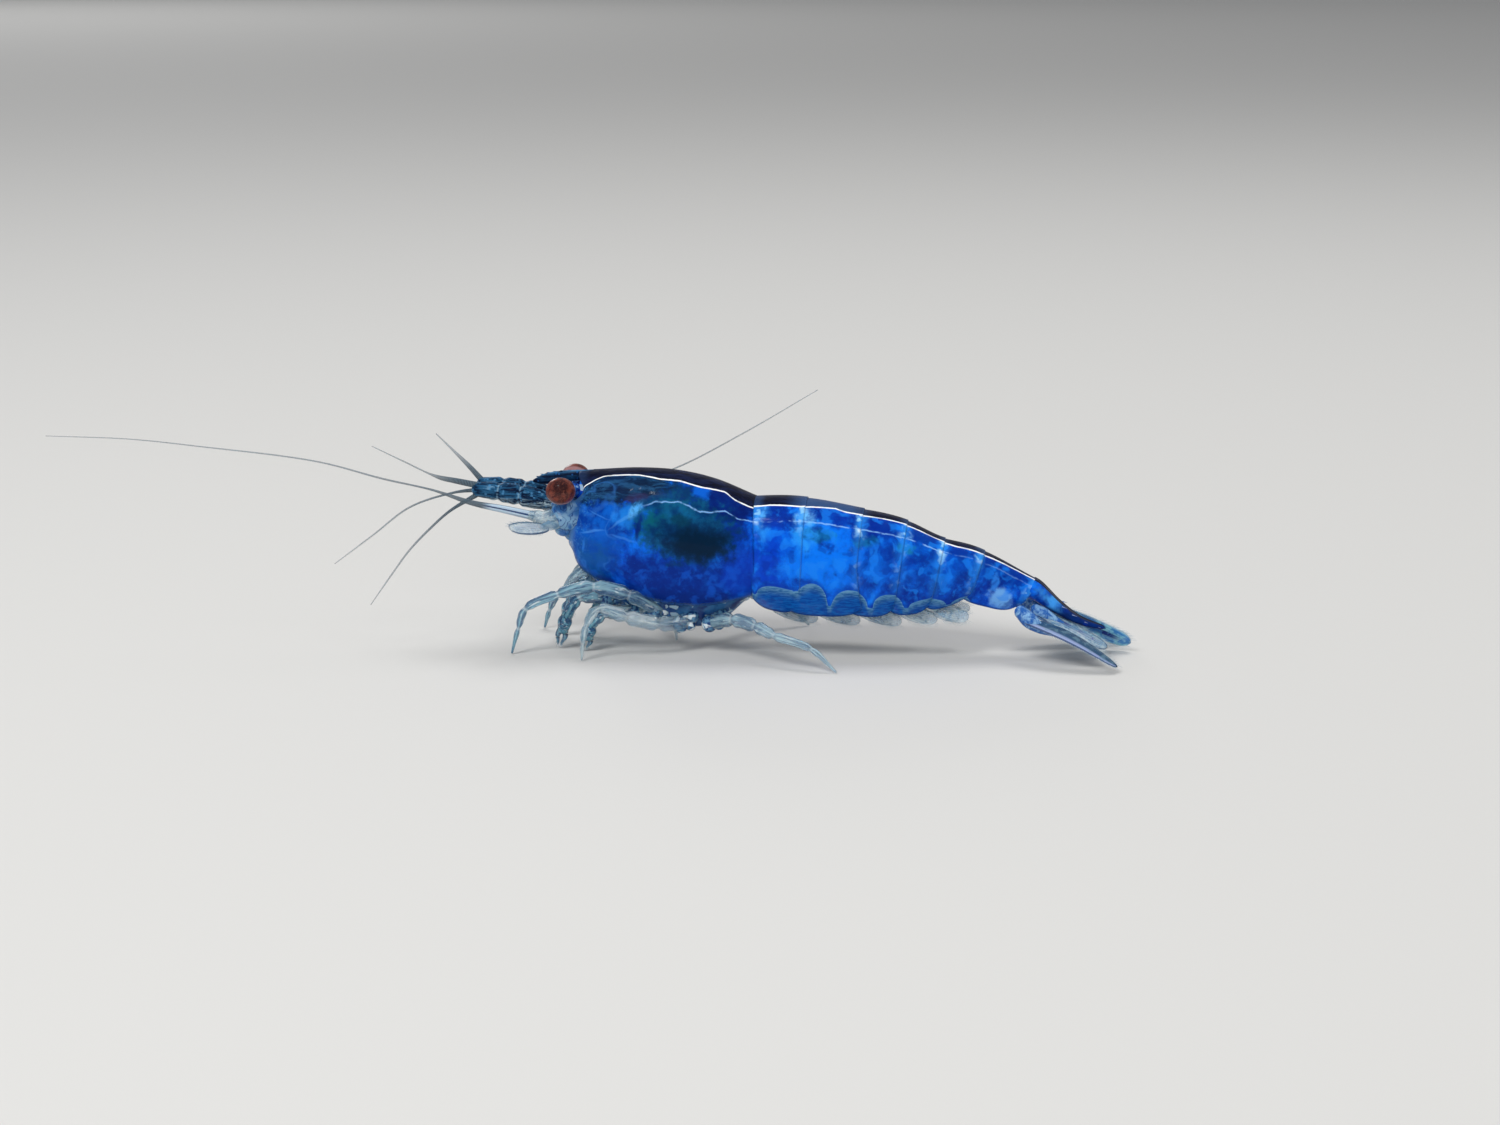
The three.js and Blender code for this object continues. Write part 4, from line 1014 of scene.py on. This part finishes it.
def makeFeelers():
    values = {
        "stem": [(-9.05, 0.6, 6.66, 0.36), (-9.6, 0.58, 6.8, 0.47), (-10.33, 0.56, 6.94, 0.47),
                 (-11.3, 0.56, 7.08, 0.43), (-12.2, 0.56, 7.16, 0.34)],
        "outer": {"left": [(-12.3, -0.58, 7.36, 0.15), (-13.2, -0.68, 7.55, 0.13), (-13.9, -0.77, 7.7, 0.1),
                           (-14.4, -0.87, 7.9, 0.045), (-15.43, -1.1, 8.45, 0.035),
                           (-16.85, -1.41, 9.2, 0.02)],
                  "right": [(-12.3, 0.6, 7.36, 0.14), (-12.95, 0.9, 7.95, 0.11), (-13.75, 1.5, 8.5, 0.06),
                            (-14.72, 2.32, 9.12, 0.03)]},
        "inner": {"left": [(-12.3, -0.58, 6.92, 0.12), (-13.5, -0.75, 6.19, 0.065),
                           (-14.35, -0.95, 5.44, 0.055), (-15.3, -1.25, 4.44, 0.045),
                           (-16.15, -1.6, 3.26, 0.035), (-16.98, -1.97, 2.04, 0.02)],
                  "right": [(-12.3, 0.6, 6.92, 0.12), (-13.6, 0.75, 6.72, 0.06), (-15.76, 1.1, 5.92, 0.045),
                            (-17.6, 1.4, 4.5, 0.035), (-19.55, 1.82, 3.0, 0.02)]},
        "long": {"left": [(-9.7, -1.32, 6.18, 0.2), (-11.0, -1.35, 6.45, 0.17), (-12.4, -1.4, 6.72, 0.12),
                          (-14.1, -1.6, 7.3, 0.05), (-16.3, -1.85, 7.82, 0.042), (-19.2, -2.15, 8.6, 0.036),
                          (-24.3, -2.8, 9.3, 0.03), (-27.4, -3.2, 9.65, 0.025), (-31.0, -3.82, 9.84, 0.018)],
                 "right": [(-9.7, 1.32, 6.18, 0.2), (-10.9, 1.8, 6.5, 0.15), (-11.4, 3.1, 6.6, 0.08),
                           (-10.4, 4.4, 6.35, 0.055), (-7.5, 4.6, 6.2, 0.045), (-4.1, 4.4, 7.27, 0.038),
                           (-0.8, 4.6, 9.0, 0.03), (2.62, 4.8, 11.05, 0.018)]},
        "base": [(-8.35, 0.85, 5.95, 0.46), (-8.95, 1.15, 6.02, 0.4), (-9.45, 1.28, 6.12, 0.29),
                 (-9.85, 1.32, 6.21, 0.19)],
        "spine": [(-9.3, 0.95, 6.75, 0.14), (-9.8, 1.12, 6.92, 0.09), (-10.25, 1.15, 7.05, 0.02)],
        "stoutLength": 4.6, "stoutFade": 0.9,  # millimetres of a long feeler's stout root
    }

    def ringed(points, along, thick=False):
        path = smoothLine(points)
        bm = tube(path, along, 10, upward, capRings=3)
        marks = bm.verts.layers.float_vector["marks"]
        length = sum((path((i + 1) / 40) - path(i / 40)).to_3d().length for i in range(40))
        for vert in bm.verts:
            t = vert[marks].x
            stout = max(0, min(1, (values["stoutLength"] - t * length) / values["stoutFade"])) if thick else 0
            vert[marks] = Vector((t, stout, t * length))
        return bm

    for name, side in sides.items():
        stemPoints = mirrored(values["stem"], side)
        joints = [Vector(point[:3]) for point in stemPoints[2:4]]
        stem = tube(smoothLine(stemPoints), 44, 22, joints=joints, pinch=0.16, width=0.12)
        spine = tube(smoothLine(mirrored(values["spine"], side)), 10, 10)
        finishPiece(f"feeler_stem_{name}", joined(stem, spine), paints["stem"],
                    [f"antennule_{name}"])
        for kind, along in (("outer", 60), ("inner", 70)):
            finishPiece(f"feeler_{kind}_{name}", ringed(values[kind][name], along), paints["feeler"],
                        [f"antennule_{kind}_{name}"])
        longFeeler = ringed(values["long"][name], 150, True)
        finishPiece(f"feeler_long_{name}", longFeeler, paints["feeler"], [f"antenna_{name}"])
        path = smoothLine(mirrored(values["base"], side))
        base = tube(path, 22, 20, tint=0.35, joints=[path(0.5).to_3d()], pinch=0.16)
        finishPiece(f"feeler_base_{name}", base, paints["limb"], [f"antenna_base_{name}"])


# clear plates with their fringes: each fine hair of the model is gathered into one piece
fringe = bmesh.new()
fringeRoots = []


def leafHalf(s, width, point):  # half width of a leaf at share s of its outline
    keep = 1 - s
    half = 0.22 * keep ** 3 + 0.62 * 3 * keep * keep * s + 0.62 * 3 * keep * s * s + point * s ** 3
    tip = math.sqrt(max(0, 1 - max(0, (s - 0.86) / 0.14) ** 2))
    return width * half * tip * min(1, (s + 0.02) / 0.06)


def leafReach(s):  # how far along a leaf the outline's share s lies
    keep = 1 - s
    return 0.25 * 3 * keep * keep * s + 0.8 * 3 * keep * s * s + 1.03 * s ** 3


def blade(start, end, width, roll, thickness=0.12, point=0.25, camber=0.06, tint=0.0, hairs=0,
          hairLength=0.3, floor=0.0, rise=0.0, slim=0.0):
    # a leaf from start to end, rolled about its length, with a fringe of hairs along both edges
    start, end = Vector(start), Vector(end)
    ahead = (end - start).normalized()
    length = (end - start).length
    across = upward.cross(ahead).normalized()
    turned = Matrix.Rotation(roll, 3, ahead)
    across = turned @ across
    normal = ahead.cross(across)

    def spotAt(s, c, lift):
        half = leafHalf(s, width, point) * (1 - slim * max(0, s - 0.4) / 0.6)
        arch = camber * (1 - c * c) * math.sin(math.pi * min(s + 0.1, 1)) + 0.035 * bell(c, 0.1)
        spot = start + ahead * length * leafReach(s) + across * half * c
        spot += normal * (arch + lift * thickness / 2 * min(1, half / thickness))
        spot += upward * rise * math.sin(math.pi * min(leafReach(s), 1))
        spot.z = max(spot.z, floor)
        return spot

    def place(u, v):
        turn = 2 * math.pi * v
        return spotAt(u, math.cos(turn), math.sin(turn)), Vector((leafReach(u), math.cos(turn), tint))

    for number in range(hairs):
        share = 0.3 + 0.69 * (number // 2) / (hairs / 2)
        way = 1 if number % 2 else -1
        root = spotAt(share, 0.97 * way, 0)
        spread = 0.25 + 0.75 * max(0, 1 - share) ** 0.6
        aim = (ahead * (1.2 - spread * 0.5) + across * way * spread).normalized()
        tip = root + aim * hairLength * chance.uniform(0.8, 1.1)
        tip += normal * chance.uniform(-0.04, 0.04)
        tip.z = max(tip.z, floor + 0.01)
        pointedHair(fringe, root, tip, 0.011)
        fringeRoots.append((share, way * 0.5 + 0.5))
    return sealed(newSheet(34, 26, place))


def makeScales():
    values = {"ends": [(-8.95, 1.6, 5.72), (-10.15, 3.72, 6.05)], "width": 0.92, "roll": 0.5, "tint": -0.2,
              "hairs": 56, "hairLength": 0.22,
              "root": [(-8.5, 1.0, 5.85, 0.3), (-8.8, 1.35, 5.78, 0.26), (-9.1, 1.75, 5.76, 0.14)]}
    for name, side in sides.items():
        leafPart = blade(*mirrored(values["ends"], side), values["width"], side * values["roll"],
                         tint=values["tint"], hairs=values["hairs"], hairLength=values["hairLength"])
        root = remarked(tube(smoothLine(mirrored(values["root"], side)), 12, 14), (0.5, 0.5, 0.1))
        finishPiece(f"feeler_scale_{name}", joined(leafPart, root), paints["blade"],
                    [f"antennal_scale_{name}"])


def makeSwimmerets():
    values = {"out": 0.72,
              # root's x and z, tip's x and z
              "spans": [(1.2, 2.2, 2.7, 1.6), (3.1, 2.15, 4.6, 1.55), (5.0, 2.15, 6.45, 1.55),
                        (6.8, 2.2, 8.05, 1.7), (8.4, 2.2, 9.45, 1.85)],
              # shift of the root, shift of the tip, width, roll, tint, hairs and their length
              "outer": [(0.05, 0.12, -0.02), (0, 0, 0), 0.92, 0.35, -0.5, 44, 0.24],
              "inner": [(-0.1, 0.1, -0.1), (0.4, 0.08, 0.02), 0.644, 1.15, -0.35, 40, 0.3]}
    for number, (rootX, rootZ, tipX, tipZ) in enumerate(values["spans"], 1):
        for name, side in sides.items():
            start = Vector((rootX, side * values["out"], rootZ))
            end = Vector((tipX, side * values["out"], tipZ))
            parts = []
            for kind in ("outer", "inner"):
                rootShift, tipShift, width, roll, tint, hairs, hairLength = values[kind]
                rootShift, tipShift = (Vector(shift) for shift in mirrored([rootShift, tipShift], side))
                parts.append(blade(start + rootShift, end + tipShift, width, -side * roll, 0.08, tint=tint,
                                   hairs=hairs, hairLength=hairLength))
            stalk = tube(smoothLine([(rootX - 0.35, side * 0.95, rootZ + 0.75, 0.26),
                                     (rootX - 0.15, side * 0.85, rootZ + 0.3, 0.27),
                                     (rootX + 0.12, side * values["out"], rootZ - 0.02, 0.16)]), 12, 14)
            parts.append(remarked(stalk, (0.5, 0.5, 0.1)))
            finishPiece(f"swimmeret_{number}_{name}", joined(*parts), paints["blade"],
                        [f"pleopod_{number}_{name}"])


legs = {
    # hip to tip as x, distance from the middle, z, radius; one point at each joint
    "1": {"left": [(-6.3, 0.75, 2.3, 0.32), (-7.6, 1.0, 2.35, 0.27), (-8.2, 1.12, 1.6, 0.22)]},
    "2": {"left": [(-5.0, 0.9, 1.8, 0.32), (-6.45, 1.3, 1.7, 0.27), (-7.05, 1.45, 1.25, 0.22)]},
    "3": {"left": [(-4.1, 1.0, 1.95, 0.34), (-5.3, 1.75, 2.75, 0.33), (-6.8, 2.0, 3.12, 0.32),
                   (-8.4, 2.15, 2.78, 0.24), (-9.85, 2.25, 2.1, 0.18), (-10.2, 2.28, 1.2, 0.13),
                   (-10.5, 2.3, 0.08, 0.05)],
          "right": [(-4.0, 1.0, 2.0, 0.33), (-5.1, 1.85, 2.55, 0.32), (-6.6, 2.1, 2.6, 0.3),
                    (-8.0, 2.25, 2.25, 0.23), (-9.2, 2.4, 1.65, 0.18), (-9.6, 2.45, 0.9, 0.13),
                    (-9.85, 2.5, 0.08, 0.05)]},
    "4": {"left": [(-2.9, 1.05, 1.35, 0.34), (-3.9, 1.95, 1.5, 0.33), (-5.3, 2.45, 1.9, 0.32),
                   (-6.5, 2.8, 2.3, 0.23), (-7.0, 3.0, 1.6, 0.17), (-7.15, 3.1, 0.8, 0.12),
                   (-7.2, 3.15, 0.08, 0.05)],
          "right": [(-2.9, 1.05, 1.45, 0.34), (-3.2, 1.8, 1.75, 0.33), (-3.6, 2.5, 2.0, 0.29),
                    (-3.85, 2.85, 1.75, 0.22), (-3.8, 2.45, 1.15, 0.17), (-3.6, 1.55, 0.5, 0.12),
                    (-3.45, 0.8, 0.08, 0.05)]},
    "5": {"left": [(-1.6, 1.0, 1.4, 0.34), (-0.6, 1.7, 1.7, 0.31), (0.5, 2.4, 1.6, 0.29),
                   (1.4, 3.0, 1.35, 0.22), (3.1, 3.7, 0.95, 0.16), (4.2, 4.1, 0.08, 0.05)],
          "right": [(-1.6, 1.0, 1.4, 0.34), (-0.9, 1.8, 1.8, 0.31), (-0.3, 2.6, 1.9, 0.28),
                    (0.3, 3.3, 1.6, 0.21), (1.5, 3.9, 1.0, 0.16), (2.3, 4.2, 0.08, 0.05)]},
}


def legHairs(path, count, first, length):
    for number in range(count):
        t = first + (0.97 - first) * number / count
        here = path(t)
        ahead = (path(min(t + 0.02, 1)) - here).to_3d().normalized()
        turn = chance.uniform(0, 2 * math.pi)
        out = (Matrix.Rotation(turn, 3, ahead) @ ahead.orthogonal()).normalized()
        root = here.to_3d() + out * here.w * 0.9
        tip = root + (out * 0.7 + ahead).normalized() * length * chance.uniform(0.7, 1.2)
        tip.z = max(tip.z, 0.01)
        pointedHair(fringe, root, tip, 0.009)
        fringeRoots.append((t, turn / 7))


def limbPiece(points, tint, tipTint, perJoint=12):
    path = smoothLine(points)
    run = Vector(points[-1][:3]) - Vector(points[0][:3])
    side = Vector((-run.y, run.x, 0)).normalized()
    joints = [Vector(point[:3]) for point in points[1:-1]]
    limb = tube(path, perJoint * (len(points) - 1), 18, side, tint, tipTint, joints=joints, pinch=0.36,
                width=0.15)
    return path, limb


def hip(x, out, z, side):  # the lumps of the short joints that a leg hangs from
    lumps = [((0.12, -0.22, 0.2), (0.46, 0.36, 0.5)), ((-0.12, 0.08, -0.06), (0.36, 0.32, 0.4)),
             ((0.42, -0.05, 0.32), (0.3, 0.34, 0.34)), ((0.3, -0.1, -0.12), (0.26, 0.3, 0.26))]
    return [ball(Vector((x + dx, side * (out + dy), z + dz)), radii, 18, 12, 1.5)
            for (dx, dy, dz), radii in lumps]


def pincer(wrist, ahead, side, length):
    # a palm, two slim fingers and the brush of hairs at their tips
    hairsEach = 40
    spread = ahead.cross(rightward * side).normalized()
    palmEnd = wrist + ahead * length * 0.5
    palm = smoothLine([(*wrist, 0.17), (*(wrist + ahead * length * 0.22), 0.33), (*palmEnd, 0.26)])
    parts = [tube(palm, 12, 16, tint=0.85)]
    for way in (-1, 1):
        root = palmEnd + spread * way * 0.09
        middle = palmEnd + ahead * length * 0.25 + spread * way * 0.17
        tip = palmEnd + ahead * length * 0.5 + spread * way * 0.07
        tip.z = max(tip.z, 0.12)
        parts.append(tube(smoothLine([(*root, 0.15), (*middle, 0.12), (*tip, 0.05)]), 12, 12, tint=0.8))
        for _ in range(hairsEach):
            start = middle.lerp(tip, chance.uniform(0.5, 1))
            wild = Vector((chance.uniform(-1, 1), chance.uniform(-1, 1), chance.uniform(-1, 0.2)))
            end = start + (ahead + wild * 0.55).normalized() * chance.uniform(0.18, 0.3)
            end.z = max(end.z, 0.01)
            pointedHair(fringe, start, end, 0.009)
            fringeRoots.append((chance.random(), chance.random()))
    return parts


def makeLegs():
    values = {"rightShift": (-0.2, 0.1), "pincerLength": {"1": 1.35, "2": 1.05}, "pincerAim": (-0.25, 0, -1),
              # how dark each leg is at its hip and at its tip
              "tints": {"1": (0.7, 0.85), "2": (0.5, 0.85), "3": (0.6, 0.75), "4": (0.05, 0.2),
                        "5": (0.6, 0.4)}}
    for number, pair in legs.items():
        for name, side in sides.items():
            arm = number in values["pincerLength"]
            points = pair["left" if arm else name]
            if arm and name == "right":
                shiftX, shiftZ = values["rightShift"]
                points = [(x + shiftX, y, z + shiftZ, r) for x, y, z, r in points]
            points = mirrored(points, side)
            path, limb = limbPiece(points, *values["tints"][number])
            parts = [limb, *hip(points[0][0], abs(points[0][1]), points[0][2], side)]
            if arm:
                wrist, aim = Vector(points[-1][:3]), Vector(values["pincerAim"]).normalized()
                parts += pincer(wrist, aim, side, values["pincerLength"][number])
            else:
                legHairs(path, 40, 0.5, 0.13)
            finishPiece(f"leg_limb_{number}_{name}", joined(*parts), paints["limb"],
                        [f"leg_{number}_{name}"])


def makeJawLegs():
    values = {"points": [(-7.4, 0.38, 3.1, 0.27), (-7.87, 0.42, 2.6, 0.24), (-8.12, 0.42, 1.95, 0.2),
                         (-8.25, 0.4, 1.1, 0.07)],
              "upper": [(-7.5, 0.8, 3.5, 0.3), (-7.95, 0.85, 3.25, 0.2), (-8.3, 0.85, 2.9, 0.06)],
              "hairs": 90, "hairsFrom": 0.35, "hairLength": 0.2}
    for name, side in sides.items():
        path, limb = limbPiece(mirrored(values["points"], side), 0.6, 0.8)
        upper = tube(smoothLine(mirrored(values["upper"], side)), 12, 14)
        legHairs(path, values["hairs"], values["hairsFrom"], values["hairLength"])
        finishPiece(f"jaw_leg_{name}", joined(limb, upper), paints["limb"], [f"maxilliped_{name}"])


def makeTailFan():
    values = {
        # the telson's top line as x, half width, z, and its depth by share of its length
        "ridge": [(12.75, 0.74, 3.62), (13.1, 0.75, 3.4), (14.0, 0.68, 2.5), (14.9, 0.48, 1.83),
                  (16.0, 0.22, 1.42)],
        "depth": [(0.0, 1.1), (0.25, 0.98), (0.5, 0.62), (0.75, 0.36), (1.0, 0.2)],
        "spines": 4, "firstSpine": 0.5, "spineStep": 0.13, "spineLength": 0.24, "spineRadius": 0.03,
        "blades": {
            # start, end, width, roll, rise of the middle, tint, slimming to the tip, size of the root
            "inner_left": [(12.85, -0.6, 2.2), (15.95, -1.1, 0.75), 0.95, 0.3, 0.0, 0.15, 0.0, 0.85],
            "outer_left": [(12.2, -1.3, 1.98), (16.35, -2.8, 0.35), 1.1, 0.1, 0.24, 0.5, 0.45, 1.0],
            "inner_right": [(12.85, 0.55, 2.25), (17.0, 1.0, 0.45), 1.1, -0.95, 0.0, 0.8, 0.0, 0.62],
            "outer_right": [(12.2, 1.4, 1.98), (16.8, 2.58, 0.35), 1.15, -0.6, 0.0, 0.8, 0.0, 1.0],
        },
    }
    ridge = smoothLine(values["ridge"])

    def place(u, v):
        crest = ridge(u)
        ahead = ridge(min(u + 0.01, 1)) - ridge(max(u - 0.01, 0))
        down = Vector((ahead.z, 0, -ahead.x)).normalized()
        if down.z > 0:
            down = -down
        turn = 2 * math.pi * v
        half = readTable(values["depth"], u) / 2
        tip = math.sqrt(max(0, 1 - max(0, (u - 0.93) / 0.07) ** 2)) * math.sqrt(min(1, u / 0.04))
        groove = 0.05 * bell(math.sin(turn), 0.3) if math.cos(turn) > 0 else 0
        spot = Vector((crest.x, 0, crest.z)) + down * (half - math.cos(turn) * half * tip + groove)
        spot += rightward * math.sin(turn) * crest.y * tip
        return spot, Vector(((abs(math.sin(turn)) - 0.5) * 1.2, 1, -1))

    telson = sealed(newSheet(40, 32, place))
    withRims(telson, lambda spot: Vector((9, 9, 9)))  # no edge, so no pale bands and no white line
    for number in range(values["spines"]):
        for side in sides.values():
            crest = ridge(values["firstSpine"] + values["spineStep"] * number)
            root = Vector((crest.x, side * crest.y * 0.75, crest.z - 0.12))
            tip = root + Vector((values["spineLength"], side * 0.05, -0.06))
            pointedHair(telson, root, tip, values["spineRadius"], 6)
    finishPiece("telson_plate", telson, paints["plates"], ["telson"])

    for name, (start, end, width, roll, rise, tint, slim, rootSize) in values["blades"].items():
        leafPart = blade(start, end, width, roll, thickness=0.13, point=0.3, camber=0.05, tint=tint, hairs=90,
                         hairLength=0.3, floor=0.02, rise=rise, slim=slim)
        root = Vector(start)
        ahead = (Vector(end) - root).normalized()
        lift = upward * (0.3 if rootSize == 1 else 0.05)
        path = smoothLine([(*(root + lift), 0.3 * rootSize),
                           (*(root + ahead * 0.45 + lift * 0.4), 0.36 * rootSize),
                           (*(root + ahead * 0.95), 0.24 * rootSize), (*(root + ahead * 1.6), 0.08)])
        lobe = remarked(tube(path, 20, 18), (0.5, 0.5, 1.5))
        finishPiece(f"tail_blade_{name}", joined(leafPart, lobe), paints["blade"], [f"uropod_{name}"])


def makeFringe():
    # each hair gets its own small patch of the map, laid out in a grid by the hair's number
    bm = fringe
    mapLayer = bm.loops.layers.uv.new("OFBake")
    patchSize = 0.003
    perHair = len(bm.faces) // len(fringeRoots)
    columns = math.ceil(math.sqrt(len(fringeRoots)))
    bm.faces.ensure_lookup_table()
    for number in range(len(fringeRoots)):
        corner = Vector((number % columns, number // columns)) / columns
        for face in bm.faces[number * perHair:(number + 1) * perHair]:
            for index, loop in enumerate(face.loops):
                turn = 2 * math.pi * index / len(face.loops)
                loop[mapLayer].uv = corner + Vector((1 + math.cos(turn), 1 + math.sin(turn))) * patchSize / 2
    finishPiece("fine_hairs", bm, paints["hair"])
    print("hairs:", len(fringeRoots))


makeCarapace()
makeTailPlates()
makeFlesh()
print("trunk made")
makeRostrum()
makeHead()
makeEyes()
makeFeelers()
makeScales()
print("head made")
makeLegs()
makeJawLegs()
makeSwimmerets()
makeTailFan()
makeFringe()
print("limbs and tail fan made")


def makeStage():
    values = {"floorSize": 3.0, "floor": tone(204, 203, 200), "floorRoughness": 0.85,
              "sky": tone(236, 238, 242), "skyStrength": 0.38}
    bm = bmesh.new()
    bmesh.ops.create_grid(bm, x_segments=1, y_segments=1, size=values["floorSize"] / 2)
    mesh = bpy.data.meshes.new("floor")
    bm.to_mesh(mesh)
    bm.free()
    floor = bpy.data.objects.new("floor", mesh)
    bpy.context.scene.collection.objects.link(floor)
    material = bpy.data.materials.new("paleFloor")
    material.use_nodes = True
    shader = material.node_tree.nodes["Principled BSDF"]
    shader.inputs["Base Color"].default_value = values["floor"]
    shader.inputs["Roughness"].default_value = values["floorRoughness"]
    mesh.materials.append(material)
    world = bpy.data.worlds.new("studio")
    bpy.context.scene.world = world
    world.use_nodes = True
    background = world.node_tree.nodes["Background"]
    background.inputs["Color"].default_value = values["sky"]
    background.inputs["Strength"].default_value = values["skyStrength"]


def makeLights():
    values = {
        # place in metres from the model's middle, size, power and whether it shows in reflections
        "key": [(-0.12, -0.2, 0.26), 0.15, 0.66, False],
        "glint": [(-0.06, -0.16, 0.3), 0.03, 0.08, True],
        "top": [(0.05, 0.1, 0.3), 0.16, 0.42, False],
        "rim": [(-0.35, 0.75, 0.3), 0.25, 0.75, True],
        "fill": [(0.1, -0.38, 0.12), 0.3, 0.52, False],
    }
    for name, (place, size, power, shows) in values.items():
        lamp = bpy.data.lights.new(name, "AREA")
        lamp.shape = "DISK"
        lamp.size = size
        lamp.energy = power
        thing = bpy.data.objects.new(name, lamp)
        thing.location = place
        thing.visible_glossy = shows
        aim = Vector((0, 0, 0.004)) - Vector(place)
        thing.rotation_euler = aim.to_track_quat("-Z", "Y").to_euler()
        bpy.context.scene.collection.objects.link(thing)


def makeCamera():
    values = {"azimuth": 6, "elevation": 13, "distance": 0.13, "frameWidth": 0.0675, "aimHeight": 0.003949,
              "sensor": 36}
    azimuth, elevation = math.radians(values["azimuth"]), math.radians(values["elevation"])
    back = Vector((math.sin(azimuth) * math.cos(elevation), -math.cos(azimuth) * math.cos(elevation),
                   math.sin(elevation)))
    aim = Vector((bodyShift.x / 1000, bodyShift.y / 1000, values["aimHeight"]))
    lens = bpy.data.cameras.new("camera")
    lens.sensor_width = values["sensor"]
    lens.lens = values["sensor"] * values["distance"] / values["frameWidth"]
    lens.clip_start = 0.001
    lens.clip_end = 20
    camera = bpy.data.objects.new("camera", lens)
    camera.location = aim + back * values["distance"]
    camera.rotation_euler = back.to_track_quat("Z", "Y").to_euler()
    bpy.context.scene.collection.objects.link(camera)
    bpy.context.scene.camera = camera


makeStage()
makeLights()
makeCamera()
scene = bpy.context.scene
scene.view_settings.view_transform = "Standard"
scene.cycles.use_denoising = True
scene.cycles.transparent_max_bounces = 24
print("stage, lights and camera made")
